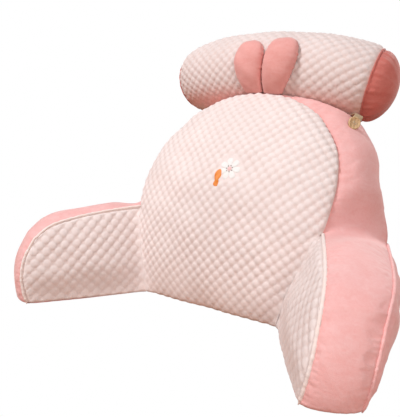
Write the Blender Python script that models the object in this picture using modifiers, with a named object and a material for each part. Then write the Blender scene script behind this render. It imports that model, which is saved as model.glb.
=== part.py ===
"""Reading pillow: a leaning backrest with two stuffed arms, and a neck roll with ears on top.

Units are metres, +Z is up and the front faces -Y. Left and right are as seen from the front, and
they mirror each other but for the lie of the filling, the ears and the tabs. Every cushion is
split along its seams: quilted front panels, plain gussets with the filling, and rear panels.
"""
import math

import bmesh
import bpy
from mathutils import Vector

# ---- driving dimensions -------------------------------------------------------------------
SEAM_GAP = 0.0003            # between two solids that are sewn together
QUILT_RISE = 0.0028          # height of a bubble above the sewn points

SEAT_WIDTH = 0.374           # between the two arm creases, at the floor
ARM_FLARE = math.radians(34.3)
ARM_LENGTH = 0.302           # crease to front seam, along the arm

BACK_FRONT_LENGTH = 0.546    # floor to top seam, along the front face
BACK_FRONT_TILT = (math.radians(9.0), math.radians(36.5))
BACK_REAR_LENGTH = 0.518
BACK_REAR_TILT = (math.radians(10.0), math.radians(37.0))
BACK_DEPTH = 0.158           # front to rear seam, at the floor
CREASE_TOP = (0.396, 0.345)  # share of the back's length at which the arms end, front and rear

# half width of the back at shares of its length, front seam and rear seam
BACK_FRONT_SIDE = ((0.0, 0.187), (0.2, 0.222), (0.396, 0.254), (0.5, 0.260), (0.6, 0.257),
                   (0.73, 0.236), (0.878, 0.174))
BACK_REAR_SIDE = ((0.0, 0.268), (0.2, 0.316), (0.345, 0.345), (0.5, 0.322), (0.6, 0.297),
                  (0.73, 0.273), (0.878, 0.215))
# how far the front seam is drawn back at its sides, above the arms
BACK_BOW = ((0.0, 0.0), (0.396, 0.0), (0.5, 0.003), (0.6, 0.011), (0.73, 0.018), (0.878, 0.024))
# share of the back's length along the rounded top, at shares of the way out to its corner
BACK_TOP = ((0.0, 1.0), (0.37, 0.985), (0.68, 0.948), (1.0, 0.878))

# arm seams: height at distances along the arm, then distance at heights up its front end
ARM_INNER_TOP = ((0.0, 0.208), (0.104, 0.200), (0.180, 0.189), (0.232, 0.174), (0.267, 0.148))
ARM_INNER_FRONT = ((0.0, 0.292), (0.030, 0.299), (0.065, 0.301), (0.105, 0.292), (0.148, 0.267))
ARM_OUTER_TOP = ((-0.081, 0.176), (0.047, 0.178), (0.165, 0.177), (0.236, 0.167), (0.271, 0.143))
ARM_OUTER_FRONT = ((0.0, 0.296), (0.030, 0.300), (0.065, 0.300), (0.105, 0.292), (0.143, 0.271))
# how much each arm seam leans out, and where the outer one stands at the floor, rear and front
ARM_INNER_LEAN = (0.40, 0.21)
ARM_OUTER_FOOT = (0.150, 0.095)
ARM_OUTER_LEAN = (0.41, 0.28)
ARM_REAR_REACH = -0.081      # the outer seam starts this far behind the crease
# how much further the inner and the outer corner of an arm's front end reach at the floor
ARM_TOE = {1: (0.012, 0.026), -1: (0.0, -0.004)}

SEAM_STEEPNESS = 0.55        # 1 is a parabola from seam to seam, and less is fuller
# how far the filling pushes each face out
BACK_CROWN = (0.050, 0.050)  # towards the left and the right edge
REAR_CROWN = (0.035, 0.035)
ARM_CROWN = (0.024, 0.024)   # towards the rear and the front edge
ARM_OUTER_CROWN = (0.050, 0.042)
ARM_FLOOR_SHARE = 0.25       # how much of that crown is left where the arm meets the floor
GUSSET_CROWN = {1: 0.030, -1: 0.013}     # on the back's right and left side
TOP_SHARE = 0.3              # how much of the gusset's crown is left under the roll
ARM_GUSSET_CROWN = 0.011
ARM_TOP_FULLNESS = (2.2, 1.0)            # shares of that crown on the arm's top, rear and front
ARM_FRONT_FULLNESS = (1.6, 1.0)          # and on its front end, at the floor and above
FOLD_REACH = 0.17            # share of the arm's top over which it rises out of the fold
SIDE_FOLD_REACH = 0.25       # and of the back's side above the arm
FLOOR_REACH = 0.4            # share of an arm's height over which its sides fill out

ROLL_RADIUS = 0.0975
ROLL_TAPER = 0.095
ROLL_HALF_LENGTH = 0.2426
ROLL_DROOP = 0.0246          # the ends hang this far below the middle
ROLL_SWEEP = 0.024           # and lie this far behind it
ROLL_TILT = 0.0114           # the right end hangs this much lower again, and the left end higher
ROLL_DEPTH = 0.3016          # the roll's axis, at the middle
ROLL_HEIGHT = 0.558
# where the sleeve ends, in half lengths, and how far the cap beyond it is stuffed out
ROLL_END = {1: 1.0, -1: 1.14}
ROLL_CAP_CROWN = {1: 0.059, -1: 0.022}
ROLL_CLEARANCE = QUILT_RISE + 0.0021   # the back's top is pressed in to this far off the roll
ROLL_SEAT = QUILT_RISE + 0.0006        # the ears are sewn on this far off it

EAR_BASE = math.radians(-30.5)                          # turns round the roll
EAR_TIP = {"left": math.radians(42.5), "right": math.radians(48.0)}
EAR_HALF_WIDTH = {"left": 0.0355, "right": 0.0375}
EAR_THICKNESS = 0.026
EAR_APART = 0.003
EAR_SHIFT = 0.0100           # the line between them lies this far right of the middle
EAR_STRAIGHT = 0.6           # the ears run side by side up to this share of their length
EAR_LEAN = {"left": 0.002, "right": 0.002}             # how far each tip leans outward

# share of the ear's greatest width and thickness from its base to its tip
EAR_OUTLINE = ((0.0, 0.67), (0.3, 0.90), (0.6, 1.0), (0.8, 0.86), (0.92, 0.6), (1.0, 0.2))
EAR_PROFILE = ((0.0, 0.45), (0.3, 0.9), (0.6, 1.0), (0.85, 0.75), (1.0, 0.15))

# shares of the back's height and depth; the right tab pulls its button's face to the front
BUTTON_PLACE = {"right": (0.815, 0.36), "left": (0.815, 0.48)}
BUTTON_FACING = {"right": (0.66, -0.74, 0.14), "left": (-0.72, -0.12, 0.68)}
BUTTON_RADIUS = 0.0145
BUTTON_THICKNESS = 0.005
# shares of its radius and thickness, from the middle of its face round its rim to its back
BUTTON_OUTLINE = ((0.0, 0.7), (0.68, 0.7), (0.8, 1.0), (0.93, 1.0), (1.0, 0.7), (1.0, 0.3),
                  (0.93, 0.0), (0.0, 0.0))
FACET_SINK = 0.0009          # the gusset's flat facets lie up to this far inside its curve
TAB_WIDTH = 0.020
TAB_THICKNESS = 0.0025
TAB_BELOW = 0.008            # past the button's middle
TAB_REACH = 0.012            # how far it runs on straight past the button's rim
TAB_STEPS = 8
# where it is sewn on, along and round the roll, and how far off its seams the tab's middle lies
TAB_SEAT = {"right": (0.95, math.radians(-54.0), 0.0045), "left": (0.92, math.radians(-68.0), 0.0045)}

# ---- how finely each surface is stepped --------------------------------------------------------
BACK_COLUMNS = 30
CREASE_ROWS = 16
BACK_UPPER_ROWS = 18
ARM_COLUMNS = 20
DEPTH_STEPS = 6
ROLL_SIDES = 40
ROLL_STEPS = 32
CAP_RINGS = 4
EAR_STEPS = 10
EAR_SIDES = 14
BUTTON_SIDES = 28
SHARP_ANGLE = math.radians(40.0)

COLOURS = {
    "quilt": (0.90, 0.77, 0.72),
    "plush": (0.86, 0.47, 0.46),
    "deep_plush": (0.72, 0.32, 0.31),
    "wood": (0.62, 0.45, 0.26),
    "webbing": (0.66, 0.55, 0.38),
}


# ---- helpers --------------------------------------------------------------------------------------
def mix(a, b, share):
    return a * (1.0 - share) + b * share


def through(points, at):
    """Value at `at` of a smooth curve through (position, value) pairs."""
    last = len(points) - 2
    k = 0
    while k < last and at > points[k + 1][0]:
        k += 1
    (x0, y0), (x1, y1) = points[k], points[k + 1]
    width = x1 - x0

    def slope(i):
        lo, hi = max(i - 1, 0), min(i + 1, len(points) - 1)
        return (points[hi][1] - points[lo][1]) / (points[hi][0] - points[lo][0])

    t = (at - x0) / width
    return ((2 * t ** 3 - 3 * t ** 2 + 1) * y0 + (t ** 3 - 2 * t ** 2 + t) * width * slope(k)
            + (3 * t ** 2 - 2 * t ** 3) * y1 + (t ** 3 - t ** 2) * width * slope(k + 1))


def swell(t):
    """0 at both ends and 1 in the middle, steep at the ends like stuffed cloth."""
    return max(4.0 * t * (1.0 - t), 0.0) ** SEAM_STEEPNESS


def ramp(t):
    """Smooth step from 0 to 1."""
    t = min(max(t, 0.0), 1.0)
    return t * t * (3.0 - 2.0 * t)


def steps(count):
    return [i / count for i in range(count + 1)]


class Shell:
    """A mesh whose corners at the same place are one vertex."""

    def __init__(self):
        self.mesh = bmesh.new()
        self.known = {}

    def vertex(self, point):
        key = (round(point.x * 1e6), round(point.y * 1e6), round(point.z * 1e6))
        if key not in self.known:
            self.known[key] = self.mesh.verts.new(point)
        return self.known[key]

    def face(self, *points):
        corners = []
        for point in points:
            corner = self.vertex(point)
            if corner not in corners:
                corners.append(corner)
        if len(corners) > 2:
            self.mesh.faces.new(corners)

    def strip(self, first, second):
        """Faces between two rows of points of the same length."""
        for a, b, c, d in zip(first, first[1:], second[1:], second):
            self.face(a, b, c, d)

    def finish(self, name, material):
        bmesh.ops.recalc_face_normals(self.mesh, faces=self.mesh.faces)
        if self.mesh.calc_volume(signed=True) < 0.0:
            bmesh.ops.reverse_faces(self.mesh, faces=self.mesh.faces)
        data = bpy.data.meshes.new(name)
        self.mesh.to_mesh(data)
        self.mesh.free()
        return add_object(name, data, material)


def make_material(name):
    material = bpy.data.materials.new(name)
    material.use_nodes = True
    shader = material.node_tree.nodes["Principled BSDF"]
    shader.inputs["Base Color"].default_value = (*COLOURS[name], 1.0)
    shader.inputs["Roughness"].default_value = 0.5 if name == "wood" else 0.9
    shader.inputs["Metallic"].default_value = 0.0
    return material


def add_object(name, data, material):
    data.shade_smooth()
    data.set_sharp_from_angle(angle=SHARP_ANGLE)
    part = bpy.data.objects.new(name, data)
    data.materials.append(bpy.data.materials[material])
    bpy.data.collections["reading_pillow"].objects.link(part)
    return part


# ---- the back's and the arms' seams ------------------------------------------------------------
def profile(share, length, tilts, start):
    """Point (y, z) on a face that leans back more and more towards its top."""
    rate = (tilts[1] - tilts[0]) / length
    tilt = tilts[0] + rate * length * share
    y = start + (math.cos(tilts[0]) - math.cos(tilt)) / rate
    z = (math.sin(tilt) - math.sin(tilts[0])) / rate
    return y, z


def back_point(x, share, depth):
    """Point of the back at a share of its height and of its depth, 0 front and 1 rear."""
    front = Vector((x, *profile(share, BACK_FRONT_LENGTH, BACK_FRONT_TILT, 0.0)))
    rear = Vector((x, *profile(share, BACK_REAR_LENGTH, BACK_REAR_TILT, BACK_DEPTH)))
    return mix(front, rear, depth)


def bowed(share, depth):
    """How far the side seams are drawn back; the middle of the face isn't."""
    return Vector((0.0, through(BACK_BOW, share) * (1.0 - depth), 0.0))


def back_side(share, depth):
    half = mix(through(BACK_FRONT_SIDE, share), through(BACK_REAR_SIDE, share), depth)
    return back_point(half, share, depth) + bowed(share, depth)


def back_edges(depth, columns, crease_rows, upper_rows):
    """Bottom, top, left and right edges of the back's outline at one depth."""
    corner = back_side(BACK_FRONT_SIDE[-1][0], depth)
    floor_half = back_side(0.0, depth).x
    crease_top = mix(*CREASE_TOP, depth)
    shares = [crease_top * t for t in steps(crease_rows)]
    shares += [mix(crease_top, BACK_FRONT_SIDE[-1][0], t) for t in steps(upper_rows)[1:]]
    right = [back_side(share, depth) for share in shares]
    left = [Vector((-p.x, p.y, p.z)) for p in right]
    bottom = [back_point(floor_half * (2 * t - 1), 0.0, depth) for t in steps(columns)]
    top = []
    for t in steps(columns):
        out = 2 * t - 1
        place = back_point(corner.x * out, through(BACK_TOP, abs(out)), depth)
        top.append(pressed_by_roll(place + bowed(BACK_FRONT_SIDE[-1][0], depth) * out ** 2))
    return bottom, top, left, right


def arm_frame(side):
    """Foot of the crease, and the directions along and across one arm."""
    foot = Vector((side * SEAT_WIDTH / 2, 0.0, 0.0))
    along = Vector((side * math.sin(ARM_FLARE), -math.cos(ARM_FLARE), 0.0))
    across = Vector((side * math.cos(ARM_FLARE), math.sin(ARM_FLARE), 0.0))
    return foot, along, across


def arm_point(side, distance, height, depth):
    """Point of an arm; depth is 0 at its inner seam and 1 at its outer seam."""
    foot, along, across = arm_frame(side)
    front_share = distance / ARM_LENGTH
    inner = height * mix(*ARM_INNER_LEAN, front_share)
    rear_share = (distance - ARM_REAR_REACH) / (ARM_LENGTH - ARM_REAR_REACH)
    outer = mix(*ARM_OUTER_FOOT, rear_share) + height * mix(*ARM_OUTER_LEAN, rear_share)
    return foot + along * distance + across * mix(inner, outer, depth) + Vector((0, 0, height))


def join_normal(side):
    """Level direction that points out of the back and into the arm, across their join."""
    near = back_side(0.0, 0.0)
    far = back_side(0.0, 1.0)
    line = far - near
    return Vector((side * line.y, -line.x, 0.0)).normalized()


def arm_edges(side, depth):
    """Bottom, top, rear and front edges of an arm's outline at one depth."""
    clear = join_normal(side) * SEAM_GAP
    rear = []
    for t in steps(CREASE_ROWS):
        p = back_side(mix(*CREASE_TOP, depth) * t, depth)
        rear.append(Vector((side * p.x, p.y, p.z)) + clear)

    def blend(edge, inner_table, outer_table):
        row = []
        for t in edge:
            inner = mix(inner_table[0][0], inner_table[-1][0], t)
            outer = mix(outer_table[0][0], outer_table[-1][0], t)
            row.append(((inner, through(inner_table, inner)), (outer, through(outer_table, outer))))
        return row

    top = []
    for inner, outer in blend(steps(ARM_COLUMNS), ARM_INNER_TOP, ARM_OUTER_TOP):
        top.append(mix(arm_point(side, *inner, 0.0), arm_point(side, *outer, 1.0), depth))
    slip = rear[-1] - top[0]
    top = [p + slip * (1.0 - t) for p, t in zip(top, steps(ARM_COLUMNS))]
    front = []
    for inner, outer in blend(steps(CREASE_ROWS), ARM_INNER_FRONT, ARM_OUTER_FRONT):
        toe = mix(*ARM_TOE[side], depth) * (1.0 - ramp(inner[0] / ARM_INNER_FRONT[-1][0]))
        near, far = arm_point(side, inner[1], inner[0], 0.0), arm_point(side, outer[1], outer[0], 1.0)
        front.append(mix(near, far, depth) + arm_frame(side)[1] * toe)
    front[-1] = top[-1].copy()
    bottom = [mix(rear[0], front[0], t) for t in steps(ARM_COLUMNS)]
    return bottom, top, rear, front


# ---- the neck roll's place ---------------------------------------------------------------------
def roll_axis(t):
    """Centre, direction and up direction of the neck roll's bent axis; t runs from -1 to 1."""
    rise, back = -2.0 * ROLL_DROOP * t - ROLL_TILT, 2.0 * ROLL_SWEEP * t
    forward = Vector((ROLL_HALF_LENGTH, back, rise)).normalized()
    up = (Vector((0, 0, 1)) - forward * forward.z).normalized()
    depth, height = ROLL_DEPTH + ROLL_SWEEP * t * t, ROLL_HEIGHT - ROLL_DROOP * t * t - ROLL_TILT * t
    return Vector((t * ROLL_HALF_LENGTH, depth, height)), forward, up


def roll_radius(t):
    """The roll is a little slimmer towards its gathered ends."""
    return ROLL_RADIUS * (1.0 - ROLL_TAPER * abs(t) ** 6)


def roll_point(t, turn, radius):
    """Point round the roll's axis; turn 0 faces the front and a quarter turn faces up."""
    centre, forward, up = roll_axis(t)
    return centre + (forward.cross(up) * math.cos(turn) + up * math.sin(turn)) * radius


def roll_ring(t, radius, shift=0.0):
    centre, forward, _ = roll_axis(t)
    turns = [2.0 * math.pi * k / ROLL_SIDES for k in range(ROLL_SIDES)]
    slide = forward * shift
    return centre + slide, [roll_point(t, turn, radius) + slide for turn in turns]


def pressed_by_roll(point):
    """The point itself, or moved straight off the roll's axis until it clears the roll."""
    t = point.x / ROLL_HALF_LENGTH
    for _ in range(3):
        centre, forward, _up = roll_axis(t)
        t += (point - centre).dot(forward) / ROLL_HALF_LENGTH
    end = 1 if t > 0.0 else -1
    if (abs(t) - ROLL_END[end]) * ROLL_HALF_LENGTH > ROLL_CAP_CROWN[end]:
        return point
    centre, forward, _up = roll_axis(t)
    away = point - centre
    if away.length >= ROLL_RADIUS + ROLL_CLEARANCE:
        return point
    return centre + away.normalized() * (ROLL_RADIUS + ROLL_CLEARANCE)


# ---- solids from seams ----------------------------------------------------------------------------
def patch(bottom, top, left, right):
    """Grid of points that fills four edges, as rows from the bottom to the top."""
    rows = []
    for j, v in enumerate(steps(len(left) - 1)):
        row = []
        for i, u in enumerate(steps(len(bottom) - 1)):
            ruled = mix(bottom[i], top[i], v) + mix(left[j], right[j], u)
            corners = mix(mix(bottom[0], bottom[-1], u), mix(top[0], top[-1], u), v)
            row.append(ruled - corners)
        row[0], row[-1] = left[j], right[j]
        rows.append(row)
    rows[0], rows[-1] = list(bottom), list(top)
    return rows


def grid_normal(rows, i, j):
    across = rows[j][min(i + 1, len(rows[j]) - 1)] - rows[j][max(i - 1, 0)]
    up = rows[min(j + 1, len(rows) - 1)][i] - rows[max(j - 1, 0)][i]
    return across.cross(up).normalized()


def ladder(shell, bottom, top, left, right):
    """Face across an outline: one straight rung at each row, and a fan to each curved end."""
    rungs = [[a, (a + b) / 2, b] for a, b in zip(left, right)]
    for edge, rung in ((bottom, rungs[1]), (top, rungs[-2])):
        rim = [rung[0], *edge, rung[2]]
        for a, b in zip(rim, rim[1:]):
            shell.face(rung[1], a, b)
    for low, high in zip(rungs[1:], rungs[2:-1]):
        for a, b, c, d in zip(low, low[1:], high[1:], high):
            shell.face(a, b, c)
            shell.face(a, c, d)


def crowned(edges, outward, crown, floor_crown, quilted):
    """Rows of a stuffed panel: the seam outline pushed outward, with bubbles if it is quilted."""
    rows = patch(*edges)
    last_row, last_column = len(rows) - 1, len(rows[0]) - 1
    raised = []
    for j, row in enumerate(rows):
        v = j / last_row
        lift = swell(v)
        if floor_crown:
            lift = swell(mix(0.5, 1.0, v)) * mix(floor_crown, 1.0, ramp(v / FLOOR_REACH))
        new_row = []
        for i, point in enumerate(row):
            inside = 0 < i < last_column and j < last_row and (j > 0 or floor_crown)
            if not inside:
                new_row.append(point)
                continue
            offset = mix(*crown, i / last_column) * lift * swell(i / last_column)
            if quilted and j > 0 and (i + j) % 2 == 0:
                offset += QUILT_RISE
            push = grid_normal(rows, i, j) * outward
            push.z = max(push.z, 0.0)
            new_point = point + push.normalized() * offset
            if j == 0:
                new_point.z = 0.0
            new_row.append(new_point)
        raised.append(new_row)
    return raised


def panel_solid(name, material, edges, outward, crown, floor_crown=0.0, quilted=False):
    """A stuffed panel with a straight-runged back, where it meets the filling."""
    rows = crowned(edges, outward, crown, floor_crown, quilted)
    shell = Shell()
    for j in range(len(rows) - 1):
        for i in range(len(rows[j]) - 1):
            a, b = rows[j][i], rows[j][i + 1]
            c, d = rows[j + 1][i + 1], rows[j + 1][i]
            if (i + j) % 2 == 0:
                shell.face(a, b, d)
                shell.face(b, c, d)
            else:
                shell.face(a, b, c)
                shell.face(a, c, d)
    ladder(shell, *edges)
    shell.strip(edges[0], rows[0])
    return shell.finish(name, material)


def outline_loop(edges):
    """The four edges as one closed loop."""
    bottom, top, left, right = edges
    return list(bottom) + right[1:] + list(reversed(top))[1:] + list(reversed(left))[1:-1]


def gusset_loops(edge_sets, crowns, outward_sign):
    """Outlines at each depth, pushed out by the filling as far as the crowns say."""
    outlines = [outline_loop(edges) for edges in edge_sets]
    count = len(outlines[0])
    loops = []
    for k, outline in enumerate(outlines):
        depth = k / (len(outlines) - 1)
        behind = outlines[max(k - 1, 0)]
        beyond = outlines[min(k + 1, len(outlines) - 1)]
        loop = []
        for i, point in enumerate(outline):
            tangent = outline[(i + 1) % count] - outline[i - 1]
            out = tangent.cross(beyond[i] - behind[i]).normalized() * outward_sign
            moved = point + out * crowns[i] * swell(depth)
            moved.z = max(moved.z, 0.0) if point.z > 1e-6 else 0.0
            loop.append(pressed_by_roll(moved))
        loops.append(loop)
    return loops


def gusset_face(side, share, depth):
    """Point on the back's bulging gusset, and the direction square to it."""
    def bulged(at_share, at_depth):
        step = 0.001
        point = back_side(at_share, at_depth)
        tangent = back_side(at_share + step, at_depth) - back_side(at_share - step, at_depth)
        across = back_side(at_share, at_depth + step) - back_side(at_share, at_depth - step)
        out = across.cross(tangent).normalized()
        point = pressed_by_roll(point + out * GUSSET_CROWN[side] * swell(at_depth))
        return Vector((side * point.x, point.y, point.z))

    step = 0.01
    rise = bulged(share + step, depth) - bulged(share - step, depth)
    back = bulged(share, depth + step) - bulged(share, depth - step)
    return bulged(share, depth), back.cross(rise).normalized() * side


def gusset_solid(name, edge_sets, crowns, outward_sign):
    """The gusset with the filling behind it, a little clear of the panels at both ends."""
    loops = gusset_loops(edge_sets, crowns, outward_sign)
    spans = {}
    for end, near in ((0, 1), (-1, -2)):
        spans[end] = [(b - a).normalized() * SEAM_GAP for a, b in zip(loops[end], loops[near])]
    loops[0] = [p + s for p, s in zip(loops[0], spans[0])]
    loops[-1] = [p + s for p, s in zip(loops[-1], spans[-1])]
    shell = Shell()
    for first, second in zip(loops, loops[1:]):
        shell.strip(first + first[:1], second + second[:1])
    columns, rows = len(edge_sets[0][0]) - 1, len(edge_sets[0][2]) - 1
    for loop in (loops[0], loops[-1]):
        bottom = loop[:columns + 1]
        right = loop[columns:columns + rows + 1]
        top = list(reversed(loop[columns + rows:2 * columns + rows + 1]))
        left = [loop[0]] + list(reversed(loop[2 * columns + rows:]))
        ladder(shell, bottom, top, left, right)
    return shell.finish(name, "plush")


# ---- sub-parts ------------------------------------------------------------------------------------
def build_back():
    front = back_edges(0.0, BACK_COLUMNS, CREASE_ROWS, BACK_UPPER_ROWS)
    panel_solid("back_front_panel", "quilt", front, 1.0, BACK_CROWN, quilted=True)
    sets = [back_edges(depth, BACK_COLUMNS, CREASE_ROWS, BACK_UPPER_ROWS)
            for depth in steps(DEPTH_STEPS)]
    side = [0.0] * (CREASE_ROWS + 1)
    side += [ramp(t / SIDE_FOLD_REACH) for t in steps(BACK_UPPER_ROWS)[1:]]
    right, left = ([weight * GUSSET_CROWN[way] for weight in side] for way in (1, -1))
    top = [mix(TOP_SHARE, 1.0, ramp(abs(2 * t - 1))) * mix(right[-1], left[-1], ramp(t))
           for t in steps(BACK_COLUMNS)]
    crowns = [0.0] * (BACK_COLUMNS + 1) + right[1:] + top[1:] + left[-2:0:-1]
    gusset_solid("back_gusset", sets, crowns, -1.0)
    rear = back_edges(1.0, BACK_COLUMNS, CREASE_ROWS, BACK_UPPER_ROWS)
    panel_solid("back_rear_panel", "plush", rear, -1.0, REAR_CROWN)


def build_arm(side, label):
    inner = arm_edges(side, 0.0)
    outer = arm_edges(side, 1.0)
    # the rear-to-front direction runs right on one side and left on the other
    panel_solid("arm_inner_panel_" + label, "quilt", inner, side, ARM_CROWN, ARM_FLOOR_SHARE, True)
    sets = [arm_edges(side, depth) for depth in steps(DEPTH_STEPS)]
    top = [ramp(t / FOLD_REACH) * mix(*ARM_TOP_FULLNESS, t) * ARM_GUSSET_CROWN
           for t in steps(ARM_COLUMNS)]
    front = [mix(*ARM_FRONT_FULLNESS, ramp(t)) * ARM_GUSSET_CROWN for t in steps(CREASE_ROWS)]
    crowns = [0.0] * ARM_COLUMNS + front + list(reversed(top))[1:] + [0.0] * (CREASE_ROWS - 1)
    gusset_solid("arm_gusset_" + label, sets, crowns, -side)
    panel_solid("arm_outer_panel_" + label, "plush", outer, -side, ARM_OUTER_CROWN, ARM_FLOOR_SHARE)


def close(ring):
    return ring + ring[:1]


def build_roll():
    sleeve = Shell()
    rings = []
    for j, t in enumerate(steps(ROLL_STEPS)):
        along = mix(-ROLL_END[-1], ROLL_END[1], t)
        radius = roll_radius(along)
        centre, ring = roll_ring(along, radius)
        if 0 < j < ROLL_STEPS:
            ring = [centre + (p - centre) * (1.0 + QUILT_RISE / radius * ((k + j) % 2 == 0))
                    for k, p in enumerate(ring)]
        rings.append(close(ring))
    for j, (first, second) in enumerate(zip(rings, rings[1:])):
        for k in range(ROLL_SIDES):
            a, b, c, d = first[k], first[k + 1], second[k + 1], second[k]
            if (k + j) % 2 == 0:
                sleeve.face(a, b, d)
                sleeve.face(b, c, d)
            else:
                sleeve.face(a, b, c)
                sleeve.face(a, c, d)
    for end in (0, -1):
        centre = sum((p for p in rings[end][:-1]), Vector()) / ROLL_SIDES
        for a, b in zip(rings[end], rings[end][1:]):
            sleeve.face(centre, a, b)
    sleeve.finish("roll_sleeve", "quilt")

    for side, label in ((1, "right"), (-1, "left")):
        cap = Shell()
        rows = []
        end = side * ROLL_END[side]
        rim = roll_radius(end)
        for q in steps(CAP_RINGS):
            angle = q * math.pi / 2
            shift = side * (SEAM_GAP + ROLL_CAP_CROWN[side] * math.sin(angle))
            rows.append(close(roll_ring(end, max(rim * math.cos(angle), 0.0), shift)[1]))
        for first, second in zip(rows, rows[1:]):
            cap.strip(first, second)
        base = roll_ring(end, 0.0, side * SEAM_GAP)[0]
        for a, b in zip(rows[0], rows[0][1:]):
            cap.face(base, a, b)
        cap.finish("roll_cap_" + label, "deep_plush")


def build_ear(side, label):
    """A stuffed ear that lies against the front of the roll, base down."""
    sections = []
    seat = ROLL_RADIUS + ROLL_SEAT
    width = EAR_HALF_WIDTH[label]
    for t in steps(EAR_STEPS):
        half = width * through(EAR_OUTLINE, t)
        thick = EAR_THICKNESS * through(EAR_PROFILE, t)
        inner = width * through(EAR_OUTLINE, min(t, EAR_STRAIGHT)) + EAR_APART / 2
        middle = EAR_SHIFT + side * (inner + EAR_LEAN[label] * t * t)
        turn = mix(EAR_BASE, EAR_TIP[label], t)
        section = []
        for k in range(EAR_SIDES):
            angle = 2.0 * math.pi * k / EAR_SIDES
            rise = thick * max(math.sin(angle), 0.0) ** 0.7
            x = middle + half * math.cos(angle)
            section.append(roll_point(x / ROLL_HALF_LENGTH, turn, seat + rise))
        sections.append(close(section))
    ear = Shell()
    for first, second in zip(sections, sections[1:]):
        ear.strip(first, second)
    ear.face(*sections[0][:-1])
    ear.face(*sections[-1][:-1])
    ear.finish("ear_" + label, "plush")


def button_frame(side, label):
    """Middle of the button's back, its facing, the direction to the roll, and across that."""
    seat, square = gusset_face(side, *BUTTON_PLACE[label])
    facing = Vector(BUTTON_FACING[label]).normalized()
    upright = facing.dot(square)
    lean = math.sqrt(1.0 - upright ** 2)
    rim_stand = BUTTON_RADIUS * lean + SEAM_GAP
    tab_stand = TAB_BELOW * lean + (TAB_THICKNESS + 5 * SEAM_GAP) * upright
    centre = seat + square * (max(rim_stand, tab_stand) - FACET_SINK)
    rising = tab_seat(side, label) - centre
    rising = (rising - facing * rising.dot(facing)).normalized()
    return centre, facing, rising, rising.cross(facing)


def tab_seat(side, label):
    t, turn, off = TAB_SEAT[label]
    return roll_point(side * t, turn, roll_radius(t) + off)


def build_button(side, label):
    """A turned button with a raised rim."""
    outline = [(r * BUTTON_RADIUS, h * BUTTON_THICKNESS) for r, h in BUTTON_OUTLINE]
    data = bpy.data.meshes.new("button_" + label)
    edges = [(i, i + 1) for i in range(len(outline) - 1)]
    data.from_pydata([(r, 0.0, h) for r, h in outline], edges, [])
    button = add_object("button_" + label, data, "wood")
    turn = button.modifiers.new("turn", "SCREW")
    turn.steps = turn.render_steps = BUTTON_SIDES
    turn.use_merge_vertices = True
    turn.merge_threshold = 0.00001
    turn.use_normal_calculate = True
    centre, facing, _, _ = button_frame(side, label)
    button.location = centre
    button.rotation_mode = "QUATERNION"
    button.rotation_quaternion = facing.to_track_quat("Z", "Y")


def build_tab(side, label):
    """The flat tab that is sewn to the roll and held by the button."""
    centre, facing, rising, across = button_frame(side, label)
    behind = centre - facing * (SEAM_GAP + TAB_THICKNESS / 2)
    seat = tab_seat(side, label)
    _, forward, _ = roll_axis(side * TAB_SEAT[label][0])
    if forward.dot(across) < 0.0:
        forward = -forward
    bend = behind + rising * (BUTTON_RADIUS + TAB_THICKNESS)
    reach = bend + rising * TAB_REACH
    path = [behind - rising * TAB_BELOW, behind]
    for t in steps(TAB_STEPS):
        path.append(mix(mix(bend, reach, t), mix(reach, seat, t), t))
    rows = []
    for k, point in enumerate(path):
        ahead = path[min(k + 1, len(path) - 1)] - path[max(k - 1, 0)]
        wide = mix(across, forward, ramp((k - 1) / (len(path) - 2)))
        thick = wide.cross(ahead).normalized() * TAB_THICKNESS / 2
        wide = ahead.cross(thick).normalized() * TAB_WIDTH / 2
        rows.append([point - wide - thick, point + wide - thick, point + wide + thick,
                     point - wide + thick])
    tab = Shell()
    for first, second in zip(rows, rows[1:]):
        tab.strip(close(first), close(second))
    tab.face(*rows[0])
    tab.face(*rows[-1])
    tab.finish("tab_" + label, "webbing")


def centre_on_floor(parts):
    """Move everything level, so that the middle of the object's box is over the origin."""
    bpy.context.view_layer.update()
    corners = [part.matrix_world @ Vector(c) for part in parts.objects for c in part.bound_box]
    for axis in (0, 1):
        places = [corner[axis] for corner in corners]
        middle = (min(places) + max(places)) / 2
        for part in parts.objects:
            part.location[axis] -= middle


def main():
    for old in list(bpy.data.objects):
        bpy.data.objects.remove(old, do_unlink=True)
    parts = bpy.data.collections.new("reading_pillow")
    bpy.context.scene.collection.children.link(parts)
    for name in COLOURS:
        make_material(name)
    build_back()
    for side, label in ((1, "right"), (-1, "left")):
        build_arm(side, label)
    build_roll()
    for side, label in ((1, "right"), (-1, "left")):
        build_ear(side, label)
        build_button(side, label)
        build_tab(side, label)
    centre_on_floor(parts)


main()
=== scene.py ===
"""Dresses the reading pillow in quilted and plain plush, with its roll, ears, buttons and tabs.

Metres, +Z up, and the pillow faces -Y. Left and right are as seen from the front. Every surface is
worked out from the same seams as the solids, then moved to where the loaded frame stands.
"""

import math

import bmesh
import bpy
import numpy as np
from bpy.props import FloatProperty, FloatVectorProperty, PointerProperty
from bpy.types import Operator, Panel, PropertyGroup
from mathutils import Matrix, Vector
from mathutils.bvhtree import BVHTree


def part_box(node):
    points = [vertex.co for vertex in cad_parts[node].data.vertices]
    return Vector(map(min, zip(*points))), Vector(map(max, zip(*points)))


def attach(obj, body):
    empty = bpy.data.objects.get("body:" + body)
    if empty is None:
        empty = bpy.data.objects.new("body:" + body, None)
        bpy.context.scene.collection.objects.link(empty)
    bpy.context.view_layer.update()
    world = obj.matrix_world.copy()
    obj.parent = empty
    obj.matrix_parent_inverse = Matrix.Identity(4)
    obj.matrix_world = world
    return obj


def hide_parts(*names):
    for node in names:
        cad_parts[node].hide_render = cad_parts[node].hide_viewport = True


bl_info = {
    "name": "Reading Pillow",
    "version": (1, 0, 0),
    "blender": (4, 5, 0),
    "location": "View3D > Sidebar > Pillow",
    "description": "Dresses a reading pillow's solids in quilted and plain plush",
    "category": "Object",
}

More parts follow.
